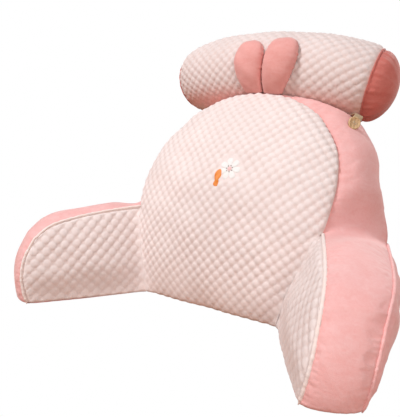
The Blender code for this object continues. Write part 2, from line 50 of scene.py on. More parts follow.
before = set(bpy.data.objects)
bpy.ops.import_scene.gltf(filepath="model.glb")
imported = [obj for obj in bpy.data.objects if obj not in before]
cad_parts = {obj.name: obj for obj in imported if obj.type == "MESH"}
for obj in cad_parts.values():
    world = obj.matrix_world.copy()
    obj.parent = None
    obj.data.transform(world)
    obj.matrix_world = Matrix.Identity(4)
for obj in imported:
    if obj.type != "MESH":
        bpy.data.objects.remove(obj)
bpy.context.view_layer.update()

# ---- seams of the solids ----
SEAT_WIDTH = 0.374
ARM_FLARE = math.radians(34.3)
ARM_LENGTH = 0.302
BACK_FRONT_LENGTH = 0.546
BACK_FRONT_TILT = (math.radians(9.0), math.radians(36.5))
BACK_REAR_LENGTH = 0.518
BACK_REAR_TILT = (math.radians(10.0), math.radians(37.0))
BACK_DEPTH = 0.158
CREASE_TOP = (0.396, 0.345)
BACK_FRONT_SIDE = ((0.0, 0.187), (0.2, 0.222), (0.396, 0.254), (0.5, 0.260), (0.6, 0.257),
                   (0.73, 0.236), (0.878, 0.174))
BACK_REAR_SIDE = ((0.0, 0.268), (0.2, 0.316), (0.345, 0.345), (0.5, 0.322), (0.6, 0.297),
                  (0.73, 0.273), (0.878, 0.215))
BACK_BOW = ((0.0, 0.0), (0.396, 0.0), (0.5, 0.003), (0.6, 0.011), (0.73, 0.018), (0.878, 0.024))
BACK_CORNER = BACK_FRONT_SIDE[-1][0]
BACK_TOP = ((0.0, 1.0), (0.37, 0.985), (0.68, 0.948), (1.0, 0.878))
ARM_INNER_TOP = ((0.0, 0.208), (0.104, 0.200), (0.180, 0.189), (0.232, 0.174), (0.267, 0.148))
ARM_INNER_FRONT = ((0.0, 0.292), (0.030, 0.299), (0.065, 0.301), (0.105, 0.292), (0.148, 0.267))
ARM_OUTER_TOP = ((-0.081, 0.176), (0.047, 0.178), (0.165, 0.177), (0.236, 0.167), (0.271, 0.143))
ARM_OUTER_FRONT = ((0.0, 0.296), (0.030, 0.300), (0.065, 0.300), (0.105, 0.292), (0.143, 0.271))
ARM_INNER_LEAN = (0.40, 0.21)
ARM_OUTER_FOOT = (0.150, 0.095)
ARM_OUTER_LEAN = (0.41, 0.28)
ARM_REAR_REACH = -0.081
ARM_TOE = {1: (0.012, 0.026), -1: (0.0, -0.004)}
SEAM_STEEPNESS = 0.55
BACK_CROWN = (0.050, 0.050)
REAR_CROWN = (0.035, 0.035)
ARM_CROWN = (0.024, 0.024)
ARM_OUTER_CROWN = (0.050, 0.042)
ARM_FLOOR_SHARE = 0.25
GUSSET_CROWN = {1: 0.030, -1: 0.013}
TOP_SHARE = 0.3
ARM_GUSSET_CROWN = 0.011
ARM_TOP_FULLNESS = (2.2, 1.0)
ARM_FRONT_FULLNESS = (1.6, 1.0)
FOLD_REACH = 0.17
SIDE_FOLD_REACH = 0.25
FLOOR_REACH = 0.4
ROLL_RADIUS = 0.0975
ROLL_TAPER = 0.095
ROLL_HALF_LENGTH = 0.2426
ROLL_DROOP = 0.0246
ROLL_SWEEP = 0.024
ROLL_TILT = 0.0114
ROLL_DEPTH = 0.3016
ROLL_HEIGHT = 0.558
ROLL_END = {1: 1.0, -1: 1.14}
ROLL_CAP_CROWN = {1: 0.059, -1: 0.022}
ROLL_CLEARANCE = 0.0049
ROLL_SEAT = 0.0034
EAR_BASE = math.radians(-30.5)
EAR_TIP = {"left": math.radians(42.5), "right": math.radians(48.0)}
EAR_HALF_WIDTH = {"left": 0.0355, "right": 0.0375}
EAR_THICKNESS = 0.026
EAR_APART = 0.003
EAR_SHIFT = 0.010
EAR_STRAIGHT = 0.6
EAR_LEAN = 0.002
EAR_OUTLINE = ((0.0, 0.67), (0.3, 0.90), (0.6, 1.0), (0.8, 0.86), (0.92, 0.6), (1.0, 0.2))
EAR_PROFILE = ((0.0, 0.45), (0.3, 0.9), (0.6, 1.0), (0.85, 0.75), (1.0, 0.15))
BUTTON_PLACE = {"right": (0.815, 0.36), "left": (0.815, 0.48)}
BUTTON_FACING = {"right": (0.66, -0.74, 0.14), "left": (-0.72, -0.12, 0.68)}
BUTTON_RADIUS = 0.0145
BUTTON_THICKNESS = 0.005
BUTTON_OUTLINE = ((0.0, 0.7), (0.5, 0.66), (0.68, 0.7), (0.78, 0.94), (0.86, 1.0), (0.94, 0.94),
                  (1.0, 0.7), (1.0, 0.3), (0.94, 0.05), (0.86, 0.0), (0.0, 0.0))
FACET_SINK = 0.0009
SEAM_GAP = 0.0003
TAB_WIDTH = 0.020
TAB_THICKNESS = 0.0025
TAB_BELOW = 0.008
TAB_REACH = 0.012
TAB_OFF_ROLL = 0.0045
TAB_SEAT = {"right": (0.95, math.radians(-54.0)), "left": (0.92, math.radians(-68.0))}
SIDES = ((1, "right"), (-1, "left"))

# the solids' seams are worked out from the foot of the backrest, and the frame from its box
_face, _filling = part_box("back_front_panel"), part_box("back_gusset")
GAP_ALONG_Y = 0.88 * SEAM_GAP
PLACE = np.array(((_face[0].x + _face[1].x) / 2, _filling[0].y - GAP_ALONG_Y, 0.0))

# ---- how finely each surface is stepped ----
BACK_COLUMNS = 210
CREASE_ROWS = 96
UPPER_ROWS = 108
ARM_COLUMNS = 132
BAND_DEPTHS = 42
ROLL_STEPS = 250
ROLL_AROUND = 256
CAP_RINGS = 30
EAR_ROWS, EAR_TIP_ROWS, EAR_AROUND = 84, 8, 72
PLAIN_EVERY = 2                   # plain panels keep every second point
UNDER_EVERY = 6                   # and the cloth underneath every sixth
UNDER_ROWS = 14
UNDER_LIFT = 0.0004

# ---- quilting, seams and filling ----
BUBBLE_REACH = 0.52               # a bubble's radius, in distances between neighbours
BUBBLE_FULLNESS = 0.66            # 1 is a parabola, and less is fuller
BUBBLE_WANDER = 0.0012            # how far their rows stray
BUBBLE_UNEVEN = 0.10              # how much their heights vary
BUBBLE_FADE = 0.007               # from a seam to the first full bubble
ARM_BUBBLES = 1.15                # the arms' bubbles are this much further apart
LOW_BUBBLES = 0.4                 # share of a bubble's height left where it is pressed
LOW_FROM, LOW_REACH = 0.01, 0.13  # heights over which the weight above presses them
CREASE_BUBBLES = 0.35             # the same right in the crease beside an arm
MOTIF_BUBBLES = 0.15              # the same under the sewn flower
MOTIF_REACH, MOTIF_FADE = 0.024, 0.014
VALLEY_SHADE_SHARPNESS = 1.7            # how fast the painted shade between bubbles gives way to them
VALLEY_SHADE_STRENGTH = 0.45
CREASE_REACH = 0.055              # the crease beside an arm is worn soft this far out
CREASE_PASSES = 150
CREASE_TOP_FADE = 0.16            # share of its height over which that ends
HOLLOW_REACH = 0.12               # and the notch in the band above it
HOLLOW_PASSES = 900
HOLLOW_FADE = 0.25                # share of the band's depth over which that begins
LIP_GROOVE = 0.0052               # from an arm's seam to the groove inside its lip
LIP_GROOVE_DEPTH = 0.0022
LIP_GROOVE_WIDTH = 0.0028
# how far the painted shade in the groove inside an arm's lip reaches
LIP_SHADE = 0.0045
GATHER_RISE, GATHER_REACH = 0.004, 0.012
QUILT_SHADE = 0.010               # how far from a seam its painted shade reaches
PLAIN_SHADE = 0.012
RELIEF_FADE = 0.02                # from a seam to the filling's full unevenness
FLOOR_FADE = 0.01                 # and from the floor
PANEL_RELIEF, ARM_RELIEF, BAND_RELIEF = 0.0022, 0.0018, 0.0016
ROLL_RELIEF = 0.0016
ROLL_REST = math.radians(315.0)   # where round the roll its pile is pressed on the backrest, its bubbles lower and painted shade there
ROLL_REST_REACH = math.radians(46.0)
ROLL_DRAWN = 0.0045               # how far the roll's cloth is drawn in at its rims
ROLL_DRAWN_REACH = 0.006
RIM_FOLDS = (24, 38)              # puckers round a rim
RIM_FOLD_RISE, RIM_FOLD_REACH = 0.005, 0.014
CAP_FOLDS = (8, 14)               # broader folds of its end
CAP_FOLD_RISE, CAP_FOLD_REACH = 0.012, 0.035
EAR_ROUNDNESS = 0.62              # 1 is a ridge, and less is fuller
EAR_PUCKER = 0.0015
EAR_RELIEF = 0.0012
EAR_TIP_REACH = 0.016             # share of its length in which the tip closes
# how far up an ear's sides the painted shade round its rim reaches
EAR_SHADE = 0.22
RIDGE_FLAT = 0.8
FILL_PRESSURE = 4.0
CLOTH_SPARE = 0.02                # how much wider the cloth is than the space it fills
CLOTH_BENDING = 0.5
CLOTH_FRAMES = 20
CLOTH_CAP = 0.006                 # the furthest that the filling pushes a point

# ---- trim ----
HOLE_PLACE = 0.0026               # a button's holes, to each side of its middle
HOLE_RADIUS = 0.0011
THREAD_RADIUS, STRAND_APART = 0.00045, 0.0004
TAPE_CORNERS = (0.35, 0.6)        # how square the tape's edges and faces are; 1 is round
RIM_SEAM_RADIUS, RIM_SEAM_DROP = 0.0013, 0.0022
MOTIF_PLACE = (0.021, 0.321)      # across and up the backrest's quilted face
PETALS = 7
PETAL_START = 0.2                 # angle of the first petal
PETAL_SIZE, PETAL_ROOT = (0.022, 0.0135), 0.0050
MIDDLE_RADIUS = 0.0055
DOT_RADIUS, DOT_RING = 0.0012, 0.0078
BUD_ANGLE = math.pi - 0.1
BUD_LEAVES = (((0.029, 0.022, 0.1), (-0.023, -0.003)), ((0.020, 0.012, 0.6), (-0.0225, -0.026)))
STITCH_SINK = 0.0003
STITCH_ROWS = ((1.0, 0.0), (1.0, 0.45), (0.93, 0.8), (0.75, 1.0), (0.4, 1.08), (0.05, 1.1))
WHITE = (1.0, 1.0, 1.0, 1.0)


# ---- helpers ----
def mix(a, b, share):
    return a * (1.0 - share) + b * share


def shares(steps):
    return np.linspace(0, 1, steps + 1)


def turns(count):
    """Angles once round, the end left out."""
    return np.linspace(0, 2 * math.pi, count, endpoint=False)


def point(x, y, z):
    return np.stack(np.broadcast_arrays(x, y, z), -1).astype(float)


def unit(v):
    return v / np.maximum(np.linalg.norm(v, axis=-1, keepdims=True), 1e-12)


def not_below(points):
    """Points or directions whose height isn't under 0."""
    points[..., 2] = np.maximum(points[..., 2], 0.0)
    return points


def through(table, at):
    """Values at `at` of a smooth curve through (position, value) pairs."""
    x, y = np.array(table).T
    at = np.asarray(at, float)
    index = np.arange(len(x))
    before, after = np.maximum(index - 1, 0), np.minimum(index + 1, len(x) - 1)
    slope = (y[after] - y[before]) / (x[after] - x[before])
    k = np.clip(np.searchsorted(x, at) - 1, 0, len(x) - 2)
    width = x[k + 1] - x[k]
    t = (at - x[k]) / width
    return ((2 * t ** 3 - 3 * t ** 2 + 1) * y[k] + (t ** 3 - 2 * t ** 2 + t) * width * slope[k]
            + (3 * t ** 2 - 2 * t ** 3) * y[k + 1] + (t ** 3 - t ** 2) * width * slope[k + 1])


def swell(t):
    return np.maximum(4.0 * t * (1.0 - t), 0.0) ** SEAM_STEEPNESS


def ramp(t):
    t = np.clip(t, 0.0, 1.0)
    return t * t * (3.0 - 2.0 * t)


def nearness(distance, reach):
    return np.clip(1.0 - distance / reach, 0.0, 1.0)


def just_inside(distance, rise, reach):
    """None at a seam, most at `rise` inside it, and fading beyond."""
    return np.minimum(distance / rise, 1.0) * np.exp(-distance / reach)


def waves(s, lengths, seed):
    """Irregular ripple of about unit height, made of waves of the given lengths."""
    rng = np.random.default_rng(seed)
    total = 0.0
    for length in lengths:
        total = total + np.sin(2 * math.pi * s / length + rng.uniform(0, 2 * math.pi))
    return total / math.sqrt(len(lengths))


def folds(turn, counts, seed):
    """Irregular ripple once round, made of the given numbers of waves."""
    return waves(turn, [2 * math.pi / count for count in counts], seed)


def run_along(grid, axis=1):
    """Distance walked over a grid's points along one axis."""
    length = np.cumsum(np.linalg.norm(np.diff(grid, axis=axis), axis=-1), axis=axis)
    pad = [(0, 0), (0, 0)]
    pad[axis] = (1, 0)
    return np.pad(length, pad)


def evened(grid):
    """Each point halfway between its neighbours in the row; the first and last stay."""
    smooth = grid.copy()
    smooth[:, 1:-1] = (grid[:, :-2] + grid[:, 2:]) / 2
    return smooth


# ---- the back's and the arms' seams ----
def profile(share, length, tilts, start):
    rate = (tilts[1] - tilts[0]) / length
    tilt = tilts[0] + rate * length * share
    y = start + (math.cos(tilts[0]) - np.cos(tilt)) / rate
    z = (np.sin(tilt) - math.sin(tilts[0])) / rate
    return y, z


def back_point(x, share, depth):
    front = point(x, *profile(share, BACK_FRONT_LENGTH, BACK_FRONT_TILT, 0.0))
    rear = point(x, *profile(share, BACK_REAR_LENGTH, BACK_REAR_TILT, BACK_DEPTH))
    return mix(front, rear, depth)


def bowed(share, depth):
    """How far the side seams are drawn back; the middle of the face isn't."""
    return point(0.0, through(BACK_BOW, share) * (1.0 - depth), 0.0)


def back_side(share, depth):
    half = mix(through(BACK_FRONT_SIDE, share), through(BACK_REAR_SIDE, share), depth)
    return back_point(half, share, depth) + bowed(share, depth)


def back_edges(depth):
    """Bottom, top, left and right edges of the back's outline at one depth."""
    crease_top = mix(*CREASE_TOP, depth)
    levels = np.concatenate((np.linspace(0, crease_top, CREASE_ROWS + 1),
                             np.linspace(crease_top, BACK_CORNER, UPPER_ROWS + 1)[1:]))
    right = back_side(levels, depth)
    out = np.linspace(-1, 1, BACK_COLUMNS + 1)
    bottom = back_point(right[0, 0] * out, 0.0, depth)
    top = back_point(right[-1, 0] * out, through(BACK_TOP, abs(out)), depth)
    top = pressed_by_roll(top + bowed(BACK_CORNER, depth) * (out ** 2)[:, None])
    return bottom, top, right * (-1, 1, 1), right


def arm_frame(side):
    foot = np.array((side * SEAT_WIDTH / 2, 0.0, 0.0))
    along = np.array((side * math.sin(ARM_FLARE), -math.cos(ARM_FLARE), 0.0))
    across = np.array((side * math.cos(ARM_FLARE), math.sin(ARM_FLARE), 0.0))
    return foot, along, across


def arm_point(side, distance, height, depth):
    foot, along, across = arm_frame(side)
    inner = height * mix(*ARM_INNER_LEAN, distance / ARM_LENGTH)
    rear_share = (distance - ARM_REAR_REACH) / (ARM_LENGTH - ARM_REAR_REACH)
    outer = mix(*ARM_OUTER_FOOT, rear_share) + height * mix(*ARM_OUTER_LEAN, rear_share)
    reach = mix(inner, outer, depth)
    return foot + along * distance[:, None] + across * reach[:, None] + point(0, 0, height)


def arm_edges(side, depth):
    """Bottom, top, rear and front edges of an arm's outline at one depth."""
    rear = back_side(np.linspace(0, mix(*CREASE_TOP, depth), CREASE_ROWS + 1), depth)
    rear = rear * (side, 1, 1)

    def blend(count, inner_table, outer_table):
        inner = mix(inner_table[0][0], inner_table[-1][0], shares(count))
        outer = mix(outer_table[0][0], outer_table[-1][0], shares(count))
        return inner, through(inner_table, inner), outer, through(outer_table, outer)

    near, near_height, far, far_height = blend(ARM_COLUMNS, ARM_INNER_TOP, ARM_OUTER_TOP)
    top = mix(arm_point(side, near, near_height, 0.0), arm_point(side, far, far_height, 1.0), depth)
    top = top + (rear[-1] - top[0]) * (1 - shares(ARM_COLUMNS))[:, None]
    near_height, near, far_height, far = blend(CREASE_ROWS, ARM_INNER_FRONT, ARM_OUTER_FRONT)
    front = mix(arm_point(side, near, near_height, 0.0), arm_point(side, far, far_height, 1.0),
                depth)
    toe = mix(*ARM_TOE[side], depth) * (1.0 - ramp(near_height / ARM_INNER_FRONT[-1][0]))
    front = front + arm_frame(side)[1] * toe[:, None]
    front[-1] = top[-1]
    bottom = mix(rear[0], front[0], shares(ARM_COLUMNS)[:, None])
    return bottom, top, rear, front


def patch(bottom, top, left, right):
    """Grid of points that fills four edges, as rows from the bottom to the top."""
    v = np.linspace(0, 1, len(left))[:, None, None]
    u = np.linspace(0, 1, len(bottom))[None, :, None]
    ruled = mix(bottom[None], top[None], v) + mix(left[:, None], right[:, None], u)
    return ruled - mix(mix(bottom[0], bottom[-1], u), mix(top[0], top[-1], u), v)


def grid_normals(grid):
    return unit(np.cross(np.gradient(grid, axis=1), np.gradient(grid, axis=0)))


def crowned(edges, outward, crown, floor_crown=0.0):
    """A stuffed panel between its seams, and the direction in which it is pushed out."""
    grid = patch(*edges)
    v = np.linspace(0, 1, grid.shape[0])[:, None]
    u = np.linspace(0, 1, grid.shape[1])[None, :]
    lift = swell(v)
    if floor_crown:
        lift = swell(mix(0.5, 1.0, v)) * mix(floor_crown, 1.0, ramp(v / FLOOR_REACH))
    push = unit(not_below(grid_normals(grid) * outward))
    raised = grid + push * (mix(*crown, u) * lift * swell(u))[..., None]
    raised[0, :, 2] = 0.0
    return raised, push


# ---- the neck roll's place ----
def roll_axis(t):
    """Centre, direction and up direction of the neck roll's bent axis; t runs from -1 to 1."""
    t = np.asarray(t, float)
    forward = unit(point(ROLL_HALF_LENGTH, 2.0 * ROLL_SWEEP * t, -2.0 * ROLL_DROOP * t - ROLL_TILT))
    up = unit(np.array((0.0, 0.0, 1.0)) - forward * forward[..., 2:])
    height = ROLL_HEIGHT - ROLL_DROOP * t * t - ROLL_TILT * t
    return point(t * ROLL_HALF_LENGTH, ROLL_DEPTH + ROLL_SWEEP * t * t, height), forward, up


def roll_radius(t):
    return ROLL_RADIUS * (1.0 - ROLL_TAPER * np.abs(t) ** 6)


def roll_point(t, turn, radius):
    """Point round the roll's axis; turn 0 faces the front and a quarter turn faces up."""
    centre, forward, up = roll_axis(t)
    turn, radius = np.asarray(turn)[..., None], np.asarray(radius)[..., None]
    return centre + (np.cross(forward, up) * np.cos(turn) + up * np.sin(turn)) * radius


def pressed_by_roll(points):
    """The points, those inside the roll's reach moved straight off its axis."""
    t = points[..., 0] / ROLL_HALF_LENGTH
    for _ in range(3):
        centre, forward, _up = roll_axis(t)
        t = t + ((points - centre) * forward).sum(-1) / ROLL_HALF_LENGTH
    centre = roll_axis(t)[0]
    away = points - centre
    reach = ROLL_RADIUS + ROLL_CLEARANCE
    held = np.linalg.norm(away, axis=-1) < reach
    end, crown = (np.where(t > 0.0, table[1], table[-1]) for table in (ROLL_END, ROLL_CAP_CROWN))
    held &= (np.abs(t) - end) * ROLL_HALF_LENGTH <= crown
    return np.where(held[..., None], centre + unit(away) * reach, points)


# ---- meshes ----
def make_piece(name, points, faces, material, slot, fill=None, stands_for=(), **masks):
    """Mesh object in the frame's place, riding on the pillow; masks are values at its points."""
    mesh = bpy.data.meshes.new(name)
    mesh.from_pydata((points.reshape(-1, 3) + PLACE).tolist(), [], faces)
    mesh.update()
    mesh.shade_smooth()
    for label, values in masks.items():
        layer = mesh.attributes.new(label, "FLOAT", "POINT")
        layer.data.foreach_set("value", np.asarray(values, np.float32).ravel())
    piece = bpy.data.objects.new(name, mesh)
    mesh.materials.append(material)
    bpy.context.scene.collection.objects.link(piece)
    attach(piece, "root")
    if stands_for:
        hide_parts(*stands_for)
    return piece


def grid_faces(rows, columns, wrap=False, flip=False, start=0):
    """Quads over a grid of points; `wrap` joins the last column to the first."""
    j, i = np.mgrid[0:rows - 1, 0:columns if wrap else columns - 1]
    following = (i + 1) % columns
    quads = np.stack((j * columns + i, j * columns + following,
                      (j + 1) * columns + following, (j + 1) * columns + i), -1).reshape(-1, 4)
    if flip:
        quads = quads[:, ::-1]
    return (quads + start).tolist()


def make_grid(name, grid, material, slot, fill, stands_for, wrap=False, flip=False, **masks):
    """A piece of one grid."""
    faces = grid_faces(*grid.shape[:2], wrap, flip)
    return make_piece(name, grid, faces, material, slot, fill, stands_for, **masks)


def make_rings(name, stacks, material, slot, foot=True):
    """One piece of several stacks of rings, closed at the top and, with `foot`, at the bottom."""
    points, faces, start = [], [], 0
    for rings in stacks:
        rows, columns = rings.shape[:2]
        faces += grid_faces(rows, columns, wrap=True, start=start)
        if foot:
            faces.append(tuple(range(start, start + columns))[::-1])
        faces.append(tuple(range(start + (rows - 1) * columns, start + rows * columns)))
        points.append(rings.reshape(-1, 3))
        start += rows * columns
    return make_piece(name, np.concatenate(points), faces, material, slot)


def made_grid(name, rows):
    """The grid of a piece that is already made."""
    vertices = bpy.data.meshes[name].vertices
    points = np.empty(len(vertices) * 3, np.float32)
    vertices.foreach_get("co", points)
    return points.reshape(rows, -1, 3) - PLACE


def rounded_under(grid, push):
    """The lowest edge of a side turned in, as filled cloth does where it stands."""
    radius = sizes().floor_round
    low = nearness(grid[..., 2], radius)
    level = unit(push * (1.0, 1.0, 0.0))
    return grid - level * (radius * (1.0 - np.sqrt(1.0 - low ** 2)))[..., None]


def tube(path, radius, sides, facing, flat=1.0):
    """Points of rings round a path; `flat` thins them in the direction they face."""
    ahead = unit(np.gradient(path, axis=0))
    across = unit(np.cross(ahead, np.broadcast_to(facing, path.shape)))
    normal = np.cross(across, ahead)
    turn = turns(sides)[None, :, None]
    radius = np.broadcast_to(radius, len(path))[:, None, None]
    return path[:, None] + radius * (across[:, None] * np.cos(turn)
                                     + normal[:, None] * np.sin(turn) * flat)


def sizes():
    return bpy.context.scene.pillow_sizes


def paint(key, share=(1.0, 1.0, 1.0)):
    """A colour setting with its alpha, each channel brought down to its share."""
    return (*(c * s for c, s in zip(getattr(bpy.context.scene.pillow_colours, key), share)), 1.0)


# ---- materials ----
class Nodes:
    """A node tree and short ways to add nodes to it."""

    def __init__(self, tree):
        self.tree = tree

    def fill(self, node, values):
        """Links a node's inputs to sockets, or sets them to plain values."""
        for key, value in values.items():
            if isinstance(value, bpy.types.NodeSocket):
                self.tree.links.new(value, node.inputs[key])
            else:
                node.inputs[key].default_value = value
        return node.outputs

    def add(self, kind, values=None, **settings):
        node = self.tree.nodes.new(kind)
        for key, value in settings.items():
            setattr(node, key, value)
        return self.fill(node, values or {})

    def math(self, operation, a, b, clamp=False):
        return self.add("ShaderNodeMath", {0: a, 1: b}, operation=operation, use_clamp=clamp)[0]

    def plus(self, a, b, clamp=False):
        return self.math("ADD", a, b, clamp)

    def times(self, a, b, clamp=False):
        return self.math("MULTIPLY", a, b, clamp)

    def noise(self, vector, scale, detail=2.0, distortion=0.0):
        return self.add("ShaderNodeTexNoise", {"Vector": vector, "Scale": scale, "Detail": detail,
                                               "Distortion": distortion})["Fac"]

    def blend(self, factor, a, b, mode="MIX"):
        values = {0: factor, 6: a, 7: b}
        return self.add("ShaderNodeMix", values, data_type="RGBA", blend_type=mode)[2]

    def spread(self, value, low, high, to_low=0.0, to_high=1.0):
        return self.add("ShaderNodeMapRange", {0: value, 1: low, 2: high, 3: to_low, 4: to_high})[0]

    def place(self, stretch=(1.0, 1.0, 1.0)):
        at = self.add("ShaderNodeTexCoord")["Object"]
        return self.add("ShaderNodeMapping", {"Vector": at, "Scale": stretch})[0]

    def mask(self, name):
        return self.add("ShaderNodeAttribute", attribute_name=name)["Fac"]

    def bump(self, height, strength, depth):
        values = {"Height": height, "Strength": strength, "Distance": depth}
        return self.add("ShaderNodeBump", values)[0]

    def group(self, make, values):
        """A node group, made the first time that it is used."""
        name, groups = GROUPS[make], bpy.data.node_groups
        if name not in groups:
            make(name)
        return self.add("ShaderNodeGroup", values, node_tree=groups[name])


def new_group(name, inputs, outputs):
    """Empty node group; an input's kind follows from its default."""
    tree = bpy.data.node_groups.new(name, "ShaderNodeTree")
    for label, default in inputs.items():
        kind = "NodeSocketFloat" if isinstance(default, float) else "NodeSocketColor"
        tree.interface.new_socket(label, in_out="INPUT", socket_type=kind).default_value = default
    for label in outputs:
        kind = "NodeSocketColor" if label == "Colour" else "NodeSocketFloat"
        tree.interface.new_socket(label, in_out="OUTPUT", socket_type=kind)
    nodes = Nodes(tree)
    return nodes, nodes.add("NodeGroupInput"), tree.nodes.new("NodeGroupOutput")


def pile_group(name):
    """Short pile: colour that varies where it is brushed, and the height of its fibres."""
    nodes, given, out = new_group(name, {"Colour": WHITE, "Tip colour": WHITE, "Fibre scale": 900.0,
                                         "Brushing": 0.5}, ("Colour", "Height"))
    place = nodes.place()
    fibre = nodes.noise(place, given["Fibre scale"], 3.0, 0.6)
    tuft = nodes.noise(place, 190.0, 3.0, 0.4)
    brushed = nodes.noise(nodes.place((1.0, 1.0, 2.2)), 26.0, 4.0, 1.2)
    tip = nodes.spread(nodes.plus(fibre, tuft), 0.75, 1.3)
    swept = nodes.times(nodes.spread(brushed, 0.35, 0.68), given["Brushing"])
    lit = nodes.plus(nodes.times(tip, 0.35), swept, clamp=True)
    colour = nodes.blend(lit, given["Colour"], given["Tip colour"])
    shade = nodes.spread(nodes.noise(place, 5.5), 0.3, 0.7, 0.955, 1.03)
    grey = nodes.add("ShaderNodeCombineColor", {0: shade, 1: shade, 2: shade})[0]
    height = nodes.plus(nodes.plus(fibre, nodes.times(tuft, 1.6)), nodes.times(brushed, 1.2))
    nodes.fill(out, {"Colour": nodes.blend(1.0, colour, grey, "MULTIPLY"), "Height": height})


def seam_shade_group(name):
    """Cloth near a seam: painted shade in a deeper colour, and small gathers of the pile near it.
    """
    nodes, given, out = new_group(name, {"Colour": WHITE, "Seam colour": WHITE, "Nearness": 0.0,
                                         "Strength": 0.6}, ("Colour", "Height"))
    drawn = nodes.noise(nodes.place(), 130.0, 2.0, 0.8)
    near = nodes.math("POWER", given["Nearness"], 2.2)
    mask = nodes.times(near, nodes.spread(drawn, 0.2, 0.8, 0.65, 1.0))
    mask = nodes.times(mask, given["Strength"], clamp=True)
    nodes.fill(out, {"Colour": nodes.blend(mask, given["Colour"], given["Seam colour"]),
                     "Height": nodes.times(near, drawn)})


def weave_group(name):
    """Flat tape: threads over and under, and the colour between them."""
    nodes, given, out = new_group(name, {"Thread colour": WHITE, "Gap colour": WHITE,
                                         "Thread scale": 260.0}, ("Colour", "Height"))
    place = nodes.place()
    threads = {"Vector": place, "Scale": given["Thread scale"], "Distortion": 0.6, "Detail": 1.0}
    warp, weft = (nodes.add("ShaderNodeTexWave", threads, bands_direction=way)["Fac"]
                  for way in ("DIAGONAL", "X"))
    height = nodes.math("MAXIMUM", warp, weft)
    fuzz = nodes.noise(place, 700.0)
    over = nodes.times(height, nodes.spread(fuzz, 0.3, 0.7, 0.7, 1.0))
    nodes.fill(out, {"Colour": nodes.blend(over, given["Gap colour"], given["Thread colour"]),
                     "Height": nodes.plus(height, nodes.times(fuzz, 0.4))})


def grain_group(name):
    """Turned wood: long darker streaks and fine pores."""
    nodes, given, out = new_group(name, {"Light colour": WHITE, "Dark colour": WHITE},
                                  ("Colour", "Height", "Roughness"))
    along = nodes.place((1.0, 1.0, 9.0))
    rings = nodes.add("ShaderNodeTexWave", {"Vector": along, "Scale": 55.0, "Distortion": 5.0,
                                            "Detail": 3.0, "Detail Scale": 1.5})["Fac"]
    pores = nodes.noise(nodes.place((6.0, 6.0, 1.0)), 420.0, 3.0)
    dark = nodes.times(rings, nodes.spread(pores, 0.3, 0.7, 0.5, 1.0), clamp=True)
    nodes.fill(out, {"Colour": nodes.blend(dark, given["Light colour"], given["Dark colour"]),
                     "Height": nodes.math("SUBTRACT", pores, nodes.times(rings, 0.3)),
                     "Roughness": nodes.spread(pores, 0.2, 0.8, 0.42, 0.62)})


GROUPS = {pile_group: "Short pile", seam_shade_group: "Drawn-in seam", weave_group: "Tape weave",
          grain_group: "Wood grain"}


def start_material(name):
    material = bpy.data.materials.new(name)
    material.use_nodes = True
    nodes = Nodes(material.node_tree)
    return nodes, nodes.tree.nodes["Principled BSDF"]


def new_plush(name, colour, tip, seam, valley=None, fibre=900.0, brushing=0.45, depth=0.0007):
    """Short plush; `valley` is the colour of the painted shade between its bubbles, where it is
    quilted, and `seam` that of the painted shade near its seams.
    """
    nodes, shader = start_material(name)
    pile = nodes.group(pile_group, {"Colour": paint(colour), "Tip colour": paint(tip),
                                    "Fibre scale": fibre, "Brushing": brushing})
    cloth = pile["Colour"]
    if valley:
        # painted shade between the bubbles, in a darker colour
        low = nodes.times(nodes.mask("valley"), VALLEY_SHADE_STRENGTH, clamp=True)
        cloth = nodes.blend(low, cloth, paint(valley))
    # painted shade near the seams, in a deeper colour
    seamed = nodes.group(seam_shade_group, {"Colour": cloth, "Seam colour": paint(seam),
                                      "Nearness": nodes.mask("seam")})
    height = nodes.plus(pile["Height"], seamed["Height"])
    nodes.fill(shader, {"Base Color": seamed["Colour"], "Normal": nodes.bump(height, 0.45, depth),
                        "Roughness": nodes.spread(pile["Height"], 1.2, 2.6, 0.82, 0.95),
                        "Sheen Weight": 0.35, "Sheen Roughness": 0.45,
                        "Sheen Tint": (1.0, 0.93, 0.91, 1.0), "Specular IOR Level": 0.15})


def new_wood(name, colour):
    nodes, shader = start_material(name)
    grain = nodes.group(grain_group, {"Light colour": paint(colour),
                                      "Dark colour": paint(colour, (0.62, 0.55, 0.5))})
    nodes.fill(shader, {"Base Color": grain["Colour"], "Roughness": grain["Roughness"],
                        "Normal": nodes.bump(grain["Height"], 0.3, 0.0003)})


def new_tape(name, colour):
    nodes, shader = start_material(name)
    weave = nodes.group(weave_group, {"Thread colour": paint(colour),
                                      "Gap colour": paint(colour, (0.6, 0.55, 0.5))})
    nodes.fill(shader, {"Base Color": weave["Colour"], "Roughness": 0.85,
                        "Normal": nodes.bump(weave["Height"], 0.6, 0.0005)})


def new_yarn(name, colour):
    """Stitching yarn: fine strands that catch the light."""
    nodes, shader = start_material(name)
    strands = nodes.noise(nodes.place((1.0, 1.0, 0.25)), 1500.0, 3.0, 0.3)
    lit = nodes.spread(strands, 0.3, 0.7)
    tone = nodes.blend(lit, paint(colour, (0.8, 0.78, 0.76)), paint(colour))
    nodes.fill(shader, {"Base Color": tone, "Roughness": nodes.spread(lit, 0.0, 1.0, 0.62, 0.45),
                        "Normal": nodes.bump(strands, 0.6, 0.0004), "Sheen Weight": 0.3})


